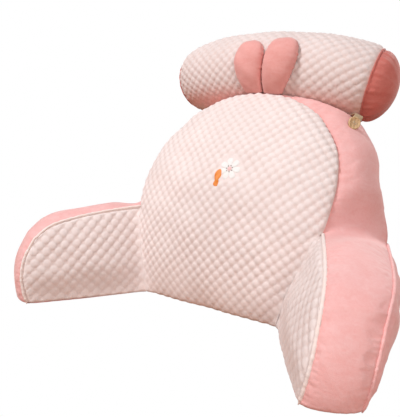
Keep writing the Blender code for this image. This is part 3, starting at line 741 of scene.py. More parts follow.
QUILT_PILE = (1000.0, 0.35, 0.0005)    # fibre scale, brushing and depth
MATERIALS = {
    "Quilted plush": (new_plush, "quilt", "quilt_tip", "quilt_seam", "quilt_valley", *QUILT_PILE),
    # the roll's colours are the quilt's, painted darker as shade
    "Roll plush": (new_plush, "roll", "roll_tip", "roll_seam", "quilt_valley", *QUILT_PILE),
    "Pink plush": (new_plush, "pink", "pink_tip", "pink_seam", None, 900.0, 0.3),
    "Ear plush": (new_plush, "ear", "ear_tip", "pink_seam"),
    "Deep pink plush": (new_plush, "deep", "deep_tip", "deep_seam"),
    "Seam lip plush": (new_plush, "lip", "quilt_tip", "quilt_seam", None, 1100.0),
    "Turned wood": (new_wood, "wood"),
    "Woven tape": (new_tape, "tape"),
    "Button thread": (new_yarn, "thread"),
    "White yarn": (new_yarn, "flower"),
    "Pink yarn": (new_yarn, "pink_tip"),
    "Orange yarn": (new_yarn, "bud"),
    "Dark yarn": (new_yarn, "dark_yarn"),
}


def material(name):
    """The named material, made the first time that it is used."""
    if name not in bpy.data.materials:
        make, *settings = MATERIALS[name]
        make(name, *settings)
    return bpy.data.materials[name]


# ---- the filling's push ----
def filled_out(grid, flip):
    """The cloth of a stuffed panel let out between its sewn edges by a cloth simulation."""
    rows, columns = grid.shape[:2]
    scene = bpy.context.scene
    mesh = bpy.data.meshes.new("loose_panel")
    mesh.from_pydata(grid.reshape(-1, 3).tolist(), [], grid_faces(rows, columns, flip=flip))
    panel = bpy.data.objects.new("loose_panel", mesh)
    scene.collection.objects.link(panel)
    index = np.arange(rows * columns).reshape(rows, columns)
    edge = np.unique(np.concatenate((index[0], index[-1], index[:, 0], index[:, -1])))
    panel.vertex_groups.new(name="sewn").add(edge.tolist(), 1.0, "REPLACE")
    cloth = panel.modifiers.new("cloth", "CLOTH")
    cloth.settings.vertex_group_mass = "sewn"
    cloth.settings.use_pressure = True
    cloth.settings.uniform_pressure_force = FILL_PRESSURE
    cloth.settings.shrink_min = -CLOTH_SPARE
    cloth.settings.bending_stiffness = CLOTH_BENDING
    cloth.settings.effector_weights.gravity = 0.0
    cloth.point_cache.frame_start, cloth.point_cache.frame_end = 1, CLOTH_FRAMES
    for number in range(1, CLOTH_FRAMES + 1):
        scene.frame_set(number)
    settled = panel.evaluated_get(bpy.context.evaluated_depsgraph_get()).data
    points = np.empty(rows * columns * 3, np.float32)
    settled.vertices.foreach_get("co", points)
    scene.frame_set(1)
    bpy.data.objects.remove(panel)
    bpy.data.meshes.remove(mesh)
    move = points.reshape(grid.shape).astype(float) - grid
    far = np.linalg.norm(move, axis=-1, keepdims=True)
    return grid + move * CLOTH_CAP / (CLOTH_CAP + far)


# ---- quilted pieces ----
def bubbles(s, t, pitch):
    """Full round domes, 0 to 1, that nearly touch, in rows that cross each other at a slant."""
    p, q = (s + t) / pitch, (s - t) / pitch
    apart = ((p - np.round(p)) ** 2 + (q - np.round(q)) ** 2) / BUBBLE_REACH ** 2
    return np.maximum(1.0 - apart, 0.0) ** BUBBLE_FULLNESS


def between(dome, fade):
    """Painted shade between the bubbles: how deep each point lies between them."""
    return np.clip(1.0 - VALLEY_SHADE_SHARPNESS * dome, 0.0, 1.0) * fade


def quilted(grid, s, t, fade, outward=1.0, wider=1.0):
    """A grid with bubbles raised on it, and how deep each point lies between them, which is painted
    as shade.
    """
    s = s + BUBBLE_WANDER * waves(t, (0.11, 0.19), 5)
    t = t + BUBBLE_WANDER * waves(s, (0.13, 0.23), 6)
    dome = bubbles(s, t, sizes().bubble_pitch * wider)
    even = 1.0 + BUBBLE_UNEVEN * waves(s + 0.7 * t, (0.09, 0.16, 0.31), 7)
    rise = sizes().bubble_rise * dome * fade * even
    return not_below(grid + grid_normals(grid) * (outward * rise)[..., None]), between(dome, fade)


def soft_relief(grid, seed, size):
    """Uneven filling under a stuffed face: a low swell with no pattern."""
    x, y, z = np.moveaxis(grid, -1, 0)
    lie = waves(x + 0.35 * z, (0.13, 0.21, 0.34), seed)
    return size * lie * waves(z - 0.3 * x + y, (0.15, 0.24, 0.37), seed + 1)


def gathers(along, distance, seed):
    """Small puckers where cloth is drawn into a seam."""
    depth = sizes().gather_depth * just_inside(distance, GATHER_RISE, GATHER_REACH)
    return depth * waves(along, (0.011, 0.017, 0.026), seed)


def quilt_bases():
    """The stuffed backrest and arms' inner sides, with the creases between them worn soft."""
    back, back_push = crowned(back_edges(0.0), 1.0, BACK_CROWN)
    arms = {}
    rows = CREASE_ROWS + 1
    for side, _label in SIDES:
        arm, push = crowned(arm_edges(side, 0.0), side, ARM_CROWN, ARM_FLOOR_SHARE)
        facing_arm = back[:, ::side]
        strip = np.concatenate((facing_arm[:rows], arm[:, 1:]), axis=1)
        run = run_along(strip)
        from_crease = np.abs(run - run[:, BACK_COLUMNS][:, None])
        below_top = ramp((1.0 - shares(CREASE_ROWS)[:, None]) / CREASE_TOP_FADE)
        keep = (1.0 - ramp(from_crease / CREASE_REACH)) * below_top
        for _ in range(CREASE_PASSES):
            strip = mix(strip, evened(strip), 0.5 * keep[..., None])
        facing_arm[:rows] = strip[:, :BACK_COLUMNS + 1]
        arms[side] = (strip[:, BACK_COLUMNS:], push)
    return (back, back_push), arms


def side_runs(grid, creases):
    """Each side edge's column, the run from it, and whether it is a crease beside an arm."""
    along = run_along(grid)
    return [(column, run, column in creases)
            for column, run in ((0, along), (-1, along[:, -1:] - along))]


def seam_distance(grid, creases):
    """Distance to the sewn edges of a quilted face; the crease beside an arm isn't sewn."""
    up = run_along(grid, 0)
    distance = up[-1:] - up
    above = np.arange(len(grid))[:, None] >= CREASE_ROWS
    for column, run, is_crease in side_runs(grid, creases):
        if is_crease:
            run = np.where(above, run, np.linalg.norm(grid - grid[CREASE_ROWS, column], axis=-1))
        distance = np.minimum(distance, run)
    return distance


def pressed_fade(grid, creases):
    """Bubbles a little lower in a crease, and towards the floor, where the weight presses them."""
    fade = mix(LOW_BUBBLES, 1.0, ramp((grid[..., 2] - LOW_FROM) / LOW_REACH))
    for _column, run, is_crease in side_runs(grid, creases):
        if is_crease:
            fade = fade * mix(CREASE_BUBBLES, 1.0, ramp(run / 0.006))
    return fade


def back_quilt(grid, push):
    base = patch(*back_edges(0.0))
    rate = (BACK_FRONT_TILT[1] - BACK_FRONT_TILT[0]) / BACK_FRONT_LENGTH
    t = (np.arcsin(base[..., 2] * rate + math.sin(BACK_FRONT_TILT[0])) - BACK_FRONT_TILT[0]) / rate
    step = (np.gradient(grid, axis=1) ** 2).sum(-1) - np.gradient(t, axis=1) ** 2
    s = np.cumsum(np.sqrt(np.maximum(step, 0.0)), axis=1)
    s -= s[:, BACK_COLUMNS // 2][:, None]
    distance = seam_distance(grid, (0, -1))
    grid = rounded_under(grid, push)
    relief = soft_relief(grid, 21, PANEL_RELIEF) * ramp(distance / RELIEF_FADE)
    grid = grid + push * (relief + gathers(t, distance, 31))[..., None]
    from_motif = np.hypot(s - MOTIF_PLACE[0], t - MOTIF_PLACE[1])
    fade = mix(MOTIF_BUBBLES, 1.0, ramp((from_motif - MOTIF_REACH) / MOTIF_FADE))
    fade = fade * ramp(distance / BUBBLE_FADE) * pressed_fade(grid, (0, -1))
    # the last value is painted shade near the sewn edges
    return *quilted(grid, s, t, fade), nearness(distance, QUILT_SHADE)


def arm_quilt(side, grid, push):
    foot, along, _across = arm_frame(side)
    s = (grid - foot) @ along
    t = grid[..., 2] * 1.06
    distance = seam_distance(grid, (0,))
    in_groove = distance - LIP_GROOVE
    grid = rounded_under(grid, push)
    relief = soft_relief(grid, 23 + side, ARM_RELIEF) * ramp(distance / RELIEF_FADE)
    groove = LIP_GROOVE_DEPTH * np.exp(-(in_groove / LIP_GROOVE_WIDTH) ** 2)
    relief = relief - groove * ramp(grid[..., 2] / FLOOR_FADE)
    grid = grid + push * (relief + gathers(s + t, distance, 33 + side))[..., None]
    fade = ramp(in_groove / BUBBLE_FADE) * pressed_fade(grid, (0,))
    # the last value is painted shade along the groove inside the lip
    return *quilted(grid, s, t, fade, side, ARM_BUBBLES), nearness(np.abs(in_groove), LIP_SHADE)


# ---- the plush band ----
def band_loop(depth):
    """One line round the band at a depth, and how far it is pushed out."""
    parts, pushes = [], []
    for side, _label in SIDES:
        _bottom, top, _rear, front = arm_edges(side, depth)
        run = shares(ARM_COLUMNS)
        upright = mix(*ARM_FRONT_FULLNESS, ramp(shares(CREASE_ROWS)))
        level = (ramp(run / FOLD_REACH) * mix(*ARM_TOP_FULLNESS, run))[::-1][1:]
        upper = np.linspace(mix(*CREASE_TOP, depth), BACK_CORNER, UPPER_ROWS + 1)[1:]
        beside = ramp(shares(UPPER_ROWS)[1:] / SIDE_FOLD_REACH) * GUSSET_CROWN[side]
        parts.append(np.concatenate((front, top[::-1][1:], back_side(upper, depth) * (side, 1, 1))))
        arm = np.concatenate((upright, level)) * ARM_GUSSET_CROWN
        pushes.append(np.concatenate((arm, beside)))
    top = back_edges(depth)[1][::-1]
    run = shares(BACK_COLUMNS)
    over = mix(TOP_SHARE, 1.0, ramp(np.abs(2 * run - 1)))
    over = over * mix(GUSSET_CROWN[1], GUSSET_CROWN[-1], ramp(run))
    line = np.concatenate((parts[0], top[1:-1], parts[1][::-1]))
    return line, np.concatenate((pushes[0], over[1:-1], pushes[1][::-1]))


def hollowed(grid):
    """The notch where arm and backrest meet, worn into a soft hollow; the seams stay put."""
    arm = CREASE_ROWS + ARM_COLUMNS
    run = run_along(grid)
    keep = np.zeros(grid.shape[:2])
    for corner in (arm, grid.shape[1] - 1 - arm):
        keep = np.maximum(keep, 1.0 - ramp(np.abs(run - run[:, corner][:, None]) / HOLLOW_REACH))
    across = shares(BAND_DEPTHS)
    keep = keep * ramp(np.minimum(across, across[::-1]) / HOLLOW_FADE)[:, None]
    for _ in range(HOLLOW_PASSES):
        smooth = evened(grid)
        smooth[1:-1, 1:-1] = mix(smooth[1:-1, 1:-1], (grid[:-2, 1:-1] + grid[2:, 1:-1]) / 2, 0.5)
        grid = mix(grid, smooth, keep[..., None])
    return grid


def plush_band():
    depths = shares(BAND_DEPTHS)
    lines, crowns = zip(*(band_loop(depth) for depth in depths))
    base, crown = np.array(lines), np.array(crowns)
    push = -grid_normals(base)
    grid = base + push * (crown * swell(depths)[:, None])[..., None]
    grid = pressed_by_roll(not_below(hollowed(filled_out(grid, True))))
    across = run_along(grid, 0)
    distance = np.minimum(across, across[-1:] - across)
    middle = np.broadcast_to(grid[len(grid) // 2][None], grid.shape)
    relief = soft_relief(grid, 41, BAND_RELIEF)
    relief = relief * ramp(np.minimum(distance, grid[..., 2] + 0.004) / RELIEF_FADE)
    relief = relief + gathers(run_along(middle), distance, 43) * ramp(grid[..., 2] / FLOOR_FADE)
    grid = not_below(rounded_under(grid - grid_normals(grid) * relief[..., None], push))
    # the second value is painted shade near the band's seams
    return grid, nearness(distance, PLAIN_SHADE)


# ---- plain panels ----
def plain_panel(edges, outward, crown, floor_crown, seed, flip):
    bottom, top, left, right = (edge[::PLAIN_EVERY] for edge in edges)
    grid, push = crowned((bottom, top, left, right), outward, crown, floor_crown)
    grid = not_below(filled_out(grid, flip))
    along, up = run_along(grid), run_along(grid, 0)
    distance = np.minimum(np.minimum(along, along[:, -1:] - along), np.minimum(up, up[-1:] - up))
    grid = rounded_under(grid, push)
    relief = soft_relief(grid, seed, PANEL_RELIEF) * ramp(distance / RELIEF_FADE)
    relief = relief + gathers(grid.sum(-1), distance, seed + 3)
    # the second value is painted shade near the panel's seams
    return not_below(grid + push * relief[..., None]), nearness(distance, PLAIN_SHADE)


def underside(near, far, end=None):
    """Flat cloth between the lower edges of two sides."""
    share = shares(UNDER_ROWS)[:, None]
    if end is None:
        end = mix(near[-1], far[-1], share)
    return patch(near, far, mix(near[0], far[0], share), end) * (1.0, 1.0, 0.0)


# ---- the roll ----
def roll_quilt():
    t = np.linspace(-ROLL_END[-1], ROLL_END[1], ROLL_STEPS + 1)[:, None]
    t, turn = np.broadcast_arrays(t, turns(ROLL_AROUND)[None, :])
    distance = np.minimum(ROLL_END[1] - t, t + ROLL_END[-1]) * ROLL_HALF_LENGTH
    girth = 2 * math.pi * ROLL_RADIUS
    s = t * ROLL_HALF_LENGTH * 1.01
    s = s + 0.001 * np.sin(3 * turn) + 0.0008 * np.sin(2 * turn + 20 * t)
    dome = bubbles(s, turn * ROLL_RADIUS, girth / round(girth / sizes().bubble_pitch))
    pressed = ramp(1.0 - np.abs(turn - ROLL_REST) / ROLL_REST_REACH)
    fade = ramp((distance - 0.002) / 0.010) * mix(1.0, LOW_BUBBLES, pressed)
    pucker = just_inside(distance, RIM_FOLD_RISE, RIM_FOLD_REACH) * folds(turn, RIM_FOLDS, 51)
    relief = ROLL_RELIEF * np.sin(2 * turn + 6 * t) * np.sin(5.3 * t + 0.6) * ramp(distance / 0.03)
    radius = roll_radius(t) - ROLL_DRAWN * np.exp(-distance / ROLL_DRAWN_REACH) + relief * 0.7
    radius = radius + 1.4 * sizes().gather_depth * pucker + sizes().bubble_rise * dome * fade
    # painted shade near the rims and where the roll rests on the backrest
    near = np.maximum(nearness(distance, QUILT_SHADE), pressed)
    return roll_point(t, turn, radius), between(dome, fade), near


def roll_end(side):
    q = shares(CAP_RINGS)[:-1, None] * math.pi / 2
    q, turn = np.broadcast_arrays(q, turns(ROLL_AROUND)[None, :])
    end, crown = side * ROLL_END[side], ROLL_CAP_CROWN[side]
    rim = roll_radius(end) - ROLL_DRAWN
    inward = rim * (1 - np.cos(q)) + crown * np.sin(q) * 0.4
    pucker = just_inside(inward, RIM_FOLD_RISE, RIM_FOLD_REACH) * folds(turn, RIM_FOLDS, 51)
    fold = just_inside(inward, CAP_FOLD_RISE, CAP_FOLD_REACH) * folds(turn, CAP_FOLDS, 53 + side)
    relief = 1.6 * sizes().gather_depth * pucker + ROLL_RELIEF * fold
    centre, forward, _up = roll_axis(end)
    shift = side * (SEAM_GAP + (crown + relief) * np.sin(q))
    grid = roll_point(np.full(q.shape, end), turn, (rim + relief) * np.cos(q))
    tip = centre + forward * side * (SEAM_GAP + crown)
    # the second value is painted shade near the rim of the end
    return grid + forward * shift[..., None], nearness(inward, PLAIN_SHADE), tip


# ---- the ears ----
def stuffed_ear(side, label):
    """Rows from the ear's base to its tip; each row goes once round it."""
    last_turn = shares(EAR_TIP_ROWS)[1:] * math.pi / 2
    beyond = 1 + EAR_TIP_REACH * np.sin(last_turn)
    t = np.concatenate((np.linspace(0, 1, EAR_ROWS), beyond))[:, None]
    closing = np.concatenate((np.ones(EAR_ROWS), np.cos(last_turn)))[:, None]
    within = np.minimum(t, 1.0)
    width = EAR_HALF_WIDTH[label]
    half = width * through(EAR_OUTLINE, within) * closing
    thick = EAR_THICKNESS * through(EAR_PROFILE, within) * closing
    inner = width * through(EAR_OUTLINE, np.minimum(t, EAR_STRAIGHT)) + EAR_APART / 2
    middle = EAR_SHIFT + side * (inner + EAR_LEAN * within ** 2)
    length = t * (EAR_TIP[label] - EAR_BASE) * ROLL_RADIUS
    angle = turns(EAR_AROUND)[None, :]
    level, upright = np.cos(angle), np.sin(angle)
    pucker = waves(length + 0.02 * np.sign(level), (0.0075, 0.0105, 0.015), 61 + side)
    pucker = pucker * np.abs(level) ** 5 * np.exp(-np.abs(upright) / 0.35) * closing
    rise = thick * np.maximum(upright, 0.0) ** EAR_ROUNDNESS
    uneven = waves(length * 1.3 + 0.03 * level, (0.05, 0.08), 65 + side)
    rise = rise + EAR_RELIEF * uneven * np.maximum(upright, 0.0)
    rise = rise + EAR_PUCKER * pucker * (upright > 0)
    x = middle + half * (1 + 0.03 * pucker) * level
    turn = np.broadcast_to(mix(EAR_BASE, EAR_TIP[label], t), x.shape)
    grid = roll_point(x / ROLL_HALF_LENGTH, turn, ROLL_RADIUS + ROLL_SEAT + np.maximum(rise, 0.0))
    # the second value is painted shade round the ear's rim
    return grid, np.broadcast_to(nearness(np.abs(upright), EAR_SHADE), x.shape)


# ---- buttons and tabs ----
def gusset_face(side, share, depth):
    """Point on the back's bulging gusset, and the direction square to it."""
    def bulged(at_share, at_depth):
        step = 0.001
        tangent = back_side(at_share + step, at_depth) - back_side(at_share - step, at_depth)
        across = back_side(at_share, at_depth + step) - back_side(at_share, at_depth - step)
        out = unit(np.cross(across, tangent))
        place = back_side(at_share, at_depth) + out * GUSSET_CROWN[side] * swell(at_depth)
        return pressed_by_roll(place) * (side, 1, 1)

    step = 0.01
    rise = bulged(share + step, depth) - bulged(share - step, depth)
    back = bulged(share, depth + step) - bulged(share, depth - step)
    return bulged(share, depth), unit(np.cross(back, rise)) * side


def tab_seat(side, label):
    t, turn = TAB_SEAT[label]
    return roll_point(side * t, turn, roll_radius(t) + TAB_OFF_ROLL)


def button_frame(side, label):
    """Middle of the button's back, its facing, the direction to the roll, and across that."""
    seat, square = gusset_face(side, *BUTTON_PLACE[label])
    facing = unit(np.array(BUTTON_FACING[label]))
    upright = facing @ square
    lean = math.sqrt(1.0 - upright ** 2)
    rim_stand = BUTTON_RADIUS * lean + SEAM_GAP
    tab_stand = TAB_BELOW * lean + (TAB_THICKNESS + 5 * SEAM_GAP) * upright
    centre = seat + square * (max(rim_stand, tab_stand) - FACET_SINK)
    rising = tab_seat(side, label) - centre
    rising = unit(rising - facing * (rising @ facing))
    return centre, facing, rising, np.cross(rising, facing)


def sewn_button(side, label):
    """A turned button with a raised rim and four holes, and the thread through them."""
    centre, facing, rising, across = button_frame(side, label)
    turn = turns(64)[:, None]
    count = len(turn)
    outline = [(r * BUTTON_RADIUS, h * BUTTON_THICKNESS) for r, h in BUTTON_OUTLINE]
    rows = [centre + facing * h + (across * np.cos(turn) + rising * np.sin(turn)) * r
            for r, h in outline[1:-1]]
    points = np.concatenate(rows + [[centre + facing * outline[0][1]], [centre]])
    faces = grid_faces(len(rows), count, wrap=True, flip=True)
    top, bottom, last = len(points) - 2, len(points) - 1, (len(rows) - 1) * count
    for k in range(count):
        following = (k + 1) % count
        faces += [(k, following, top), (last + following, last + k, bottom)]
    button = make_piece("button_" + label + "_wood", points, faces, material("Turned wood"), "wood",
                        stands_for=["button_" + label])
    drill_holes(button, centre, facing, rising, across)
    strand = np.linspace(-1, 1, 15)[:, None]
    lift = facing * (BUTTON_THICKNESS * 0.72 + 0.0007 * (1 - strand ** 2))
    middle = centre + rising * strand * HOLE_PLACE + lift
    paths = [middle + across * (sign * HOLE_PLACE + half * STRAND_APART)
             for sign in (-1, 1) for half in (-1, 1)]
    make_rings("button_thread_" + label, [tube(path, THREAD_RADIUS, 8, facing) for path in paths],
               material("Button thread"), "webbing")


def drill_holes(button, centre, facing, rising, across):
    """Cuts four round holes through the button."""
    cutter = bmesh.new()
    turn = Vector(facing).to_track_quat("Z", "Y").to_matrix().to_4x4()
    for a in (-1, 1):
        for b in (-1, 1):
            at = Vector(centre + PLACE + (rising * a + across * b) * HOLE_PLACE)
            bmesh.ops.create_cone(cutter, cap_ends=True, segments=16, depth=0.03,
                                  radius1=HOLE_RADIUS, radius2=HOLE_RADIUS,
                                  matrix=Matrix.Translation(at) @ turn)
    data = bpy.data.meshes.new("drill")
    cutter.to_mesh(data)
    cutter.free()
    drill = bpy.data.objects.new("drill", data)
    bpy.context.scene.collection.objects.link(drill)
    cut = button.modifiers.new("holes", "BOOLEAN")
    cut.object, cut.operation, cut.solver = drill, "DIFFERENCE", "EXACT"
    graph = bpy.context.evaluated_depsgraph_get()
    whole, drilled = button.data, bpy.data.meshes.new_from_object(button.evaluated_get(graph))
    button.modifiers.clear()
    button.data = drilled
    bpy.data.meshes.remove(whole)
    bpy.data.objects.remove(drill)
    drilled.set_sharp_from_angle(angle=math.radians(50))


def tab_path(side, label):
    """Middle line of the tape from below the button to the roll, and the way it is wide."""
    centre, facing, rising, across = button_frame(side, label)
    behind = centre - facing * (SEAM_GAP + TAB_THICKNESS / 2)
    forward = roll_axis(side * TAB_SEAT[label][0])[1]
    if forward @ across < 0.0:
        forward = -forward
    bend = behind + rising * (BUTTON_RADIUS + TAB_THICKNESS)
    reach = bend + rising * TAB_REACH
    t = shares(24)[:, None]
    curve = mix(mix(bend, reach, t), mix(reach, tab_seat(side, label), t), t)
    straight = mix(behind - rising * TAB_BELOW, bend, shares(7)[:, None])[:-1]
    path = np.concatenate((straight, curve))
    return path, mix(across, forward, ramp(shares(len(path) - 1))[:, None])


def woven_tab(side, label):
    """The flat tape between roll and button, with rounded edges."""
    path, wide = tab_path(side, label)
    ahead = unit(np.gradient(path, axis=0))
    thick = unit(np.cross(wide, ahead))
    turn = turns(28)[None, :, None]
    across = np.sign(np.cos(turn)) * np.abs(np.cos(turn)) ** TAPE_CORNERS[0] * TAB_WIDTH / 2
    through_it = np.sign(np.sin(turn)) * np.abs(np.sin(turn)) ** TAPE_CORNERS[1] * TAB_THICKNESS / 2
    rings = path[:, None] + np.cross(ahead, thick)[:, None] * across + thick[:, None] * through_it
    tab = make_rings("tab_" + label + "_tape", [rings], material("Woven tape"), "webbing")
    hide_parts("tab_" + label)


# ---- seam ridges ----
def seam_ridge(name, path, facing, radius, cloth, slot, seed, lift=0.0):
    """A turned seam that stands a little above the cloth, with the slight unevenness of sewing."""
    run = np.concatenate(([0], np.cumsum(np.linalg.norm(np.diff(path, axis=0), axis=1))))
    uneven = radius * (1 + 0.10 * waves(run, (0.009, 0.014, 0.023), seed))
    uneven = uneven * mix(0.35, 1.0, ramp(np.minimum(run, run[-1] - run) / 0.012))
    shift = lift + 0.0003 * waves(run, (0.02, 0.033), seed + 1)
    rings = not_below(tube(path + facing * shift[:, None], uneven, 12, facing, RIDGE_FLAT))
    make_rings(name, [rings], material(cloth), slot)


def arm_seam(side, depth, lean):
    """The seam up an arm's front end and back along its top, and which way it faces."""
    bottom, top, rear, front = arm_edges(side, depth)
    path = np.concatenate((front, top[::-1][1:]))
    middle = patch(bottom, top, rear, front)[CREASE_ROWS // 2, ARM_COLUMNS // 2]
    ahead = unit(np.gradient(path, axis=0))
    away = path - middle
    away = unit(away - ahead * (away * ahead).sum(-1)[:, None])
    return path, unit(away + arm_frame(side)[2] * lean)


# ---- the sewn flower ----
def leaf_shape(length, width, tip=0.6):
    """Outline of a petal from its root at 0 along +Y, fullest nearer its tip."""
    t = np.linspace(0, math.pi, 28)
    along = length * (1 - np.cos(t)) / 2
    half = width / 2 * np.sin(t) ** 0.8 * (0.7 + tip * along / length)
    left = np.stack((-half, along), -1)[::-1][1:-1]
    return np.concatenate((np.stack((half, along), -1), left))


def turned(shape, angle, shift):
    c, s = math.cos(angle), math.sin(angle)
    return shape @ np.array(((c, s), (-s, c))) + shift


def disc_shape(radius, count=24):
    return radius * np.stack((np.cos(turns(count)), np.sin(turns(count))), -1)


def ring_places(radius, start):
    """Places for one shape a petal, round the flower's middle."""
    angle = 2 * math.pi * (np.arange(PETALS) + start) / PETALS + PETAL_START
    return angle, radius * np.stack((-np.sin(angle), np.cos(angle)), -1)


def satin_patch(cloth, axes, shape, height):
    """Rows of a low pad of stitches laid on the cloth: outline to its middle."""
    origin, rise, across, normal = axes
    middle = shape.mean(0)
    rows = []
    for share, lift in STITCH_ROWS:
        row = []
        for a, b in middle + (shape - middle) * share:
            start = Vector(origin + across * a + rise * b + normal * 0.12)
            hit, square, _index, _far = cloth.ray_cast(start, Vector(-normal))
            row.append(np.array(hit) - PLACE + np.array(square) * (height * lift - STITCH_SINK))
        rows.append(row)
    return np.array(rows)


# ---- what a user would change ----
def measure(name, text, default, low, high):
    return FloatProperty(name=name, description=text, default=default, min=low, max=high,
                         unit="LENGTH", subtype="DISTANCE", precision=4)


def tint(name, default, text="Where its pile is brushed up"):
    return FloatVectorProperty(name=name, description=text, default=default, size=3, min=0.0,
                               max=1.0, subtype="COLOR")


class PillowSizes(PropertyGroup):
    bubble_pitch: measure("Bubble pitch", "Distance between bubbles in a row", 0.0247, 0.015, 0.06)
    bubble_rise: measure("Bubble rise", "Height of a bubble", 0.0029, 0.0, 0.006)
    gather_depth: measure("Gather depth", "Depth of the puckers along seams", 0.0008, 0.0, 0.003)
    floor_round: measure("Floor round", "How far the lower edges turn in", 0.008, 0.001, 0.02)
    seam_radius: measure("Seam radius", "Half the width of a turned seam", 0.0029, 0.0005, 0.005)


class PillowColours(PropertyGroup):
    quilt: tint("Quilt", (0.84, 0.715, 0.69), "Bubble-quilted plush")
    quilt_tip: tint("Quilt tips", (0.91, 0.82, 0.80))
    # colour of the painted shade between the quilt's bubbles
    quilt_valley: tint("Quilt valleys", (0.66, 0.49, 0.44), "Painted shade between its bubbles")
    # colour of the painted shade near the quilt's seams
    quilt_seam: tint("Quilt seams", (0.52, 0.33, 0.26), "Painted shade near a seam")
    # the roll's colours are the quilt's, painted darker as shade
    roll: tint("Roll", (0.75, 0.625, 0.60), "Bubble-quilted plush of the roll")
    roll_tip: tint("Roll tips", (0.82, 0.725, 0.71))
    # colour of the painted shade near the roll's seams and where it rests
    roll_seam: tint("Roll seams", (0.74, 0.28, 0.20), "Painted shade near its seams and where it rests")
    pink: tint("Pink", (0.85, 0.42, 0.40), "Plain plush")
    pink_tip: tint("Pink tips", (0.93, 0.60, 0.59))
    # colour of the painted shade near the pink plush's seams
    pink_seam: tint("Pink seams", (0.72, 0.24, 0.21), "Painted shade near a seam")
    ear: tint("Ears", (0.76, 0.33, 0.30), "Plush of the ears")
    ear_tip: tint("Ear tips", (0.82, 0.43, 0.40))
    deep: tint("Roll ends", (0.60, 0.16, 0.13), "Deeper plush of the roll's ends")
    deep_tip: tint("Roll end tips", (0.68, 0.235, 0.20))
    # colour of the painted shade near the roll ends' seams
    deep_seam: tint("Roll end seams", (0.52, 0.13, 0.11), "Painted shade near a seam")
    lip: tint("Seam lip", (0.90, 0.74, 0.68), "Turned edge of the quilted plush")
    wood: tint("Wood", (0.72, 0.50, 0.27), "Turned buttons")
    tape: tint("Tape", (0.60, 0.46, 0.30), "Woven tabs")
    thread: tint("Thread", (0.72, 0.62, 0.46), "Thread through the buttons")
    flower: tint("Flower", (0.93, 0.91, 0.90), "Petals of the sewn flower")
    bud: tint("Bud", (0.90, 0.27, 0.02), "Bud beside the flower")
    dark_yarn: tint("Dark yarn", (0.22, 0.10, 0.06), "Small stitches of the sewn flower")


# ---- operators ----
class PILLOW_OT_quilts(Operator):
    """Quilted faces of the backrest and of the arms' inner sides"""
    bl_idname = "pillow.quilts"
    bl_label = "Quilted Faces"

    def execute(self, context):
        cloth = material("Quilted plush")
        back, arms = quilt_bases()
        grid, valley, near = back_quilt(*back)
        make_grid("back_quilt", grid, cloth, "quilted_plush", 0.8, ["back_front_panel"], seam=near,
                  valley=valley)
        for side, label in SIDES:
            grid, valley, near = arm_quilt(side, *arms[side])
            make_grid("arm_quilt_" + label, grid, cloth, "quilted_plush", 0.75,
                      ["arm_inner_panel_" + label], flip=side < 0, seam=near, valley=valley)
        return {"FINISHED"}


class PILLOW_OT_band(Operator):
    """Plush band up the arms' fronts, along their tops and over the backrest"""
    bl_idname = "pillow.band"
    bl_label = "Plush Band"

    def execute(self, context):
        grid, near = plush_band()
        make_grid("plush_band", grid, material("Pink plush"), "pink_plush", 0.8,
                  ["back_gusset", "arm_gusset_left", "arm_gusset_right"], flip=True, seam=near)
        return {"FINISHED"}


class PILLOW_OT_plain(Operator):
    """Plain rear panel, the arms' outer sides and the cloth underneath"""
    bl_idname = "pillow.plain"
    bl_label = "Plain Panels"

    def execute(self, context):
        cloth = material("Pink plush")
        outer_every = UNDER_EVERY // PLAIN_EVERY
        grid, near = plain_panel(back_edges(1.0), -1.0, REAR_CROWN, 0.0, 81, True)
        make_grid("rear_panel", grid, cloth, "pink_plush", 0.75, ["back_rear_panel"], flip=True,
                  seam=near)
        front = made_grid("back_quilt", CREASE_ROWS + UPPER_ROWS + 1)[0, ::UNDER_EVERY]
        sheets = [underside(front, grid[0, ::outer_every])]
        ends = made_grid("plush_band", BAND_DEPTHS + 1)[::BAND_DEPTHS // UNDER_ROWS]
        for side, label in SIDES:
            outward = side > 0
            outer, near = plain_panel(arm_edges(side, 1.0), -side, ARM_OUTER_CROWN, ARM_FLOOR_SHARE,
                                      84 + side, outward)
            make_grid("arm_side_" + label, outer, cloth, "pink_plush", 0.75,
                      ["arm_outer_panel_" + label], flip=outward, seam=near)
            inner = made_grid("arm_quilt_" + label, CREASE_ROWS + 1)[0, ::UNDER_EVERY]
            end = ends[:, 0 if outward else -1]
            sheets.append(underside(inner, outer[0, ::outer_every], end))
        points, faces, start = [], [], 0
        for sheet, flip in zip(sheets, (True, True, False)):
            faces += grid_faces(*sheet.shape[:2], flip=flip, start=start)
            points.append(sheet.reshape(-1, 3))
            start += len(points[-1])
        points = np.concatenate(points) + (0.0, 0.0, UNDER_LIFT)
        make_piece("underside", points, faces, cloth, "pink_plush")
        return {"FINISHED"}


class PILLOW_OT_roll(Operator):
    """Quilted neck roll and its gathered ends"""
    bl_idname = "pillow.roll"
    bl_label = "Neck Roll"

    def execute(self, context):
        grid, valley, near = roll_quilt()
        make_grid("roll_quilt", grid, material("Roll plush"), "quilted_plush", 0.85,
                  ["roll_sleeve"], wrap=True, seam=near, valley=valley)
        for side, label in SIDES:
            grid, near, tip = roll_end(side)
            rings, count = grid.shape[:2]
            faces = grid_faces(rings, count, wrap=True, flip=side < 0)
            last = (rings - 1) * count
            for k in range(count):
                faces.append((last + k, last + (k + 1) % count, rings * count)[::side])
            points = np.concatenate((grid.reshape(-1, 3), [tip]))
            make_piece("roll_end_" + label, points, faces, material("Deep pink plush"),
                       "deep_plush", 0.8, ["roll_cap_" + label], seam=np.append(near.ravel(), 0.0))
            end = side * ROLL_END[side]
            turn = np.linspace(0, 2 * math.pi, 181)
            rim = roll_point(np.full(turn.shape, end), turn, roll_radius(end) - RIM_SEAM_DROP)
            away = unit(rim - roll_axis(end)[0])
            seam_ridge("roll_seam_" + label, rim, away, RIM_SEAM_RADIUS, "Deep pink plush",
                       "deep_plush", 91)
        return {"FINISHED"}


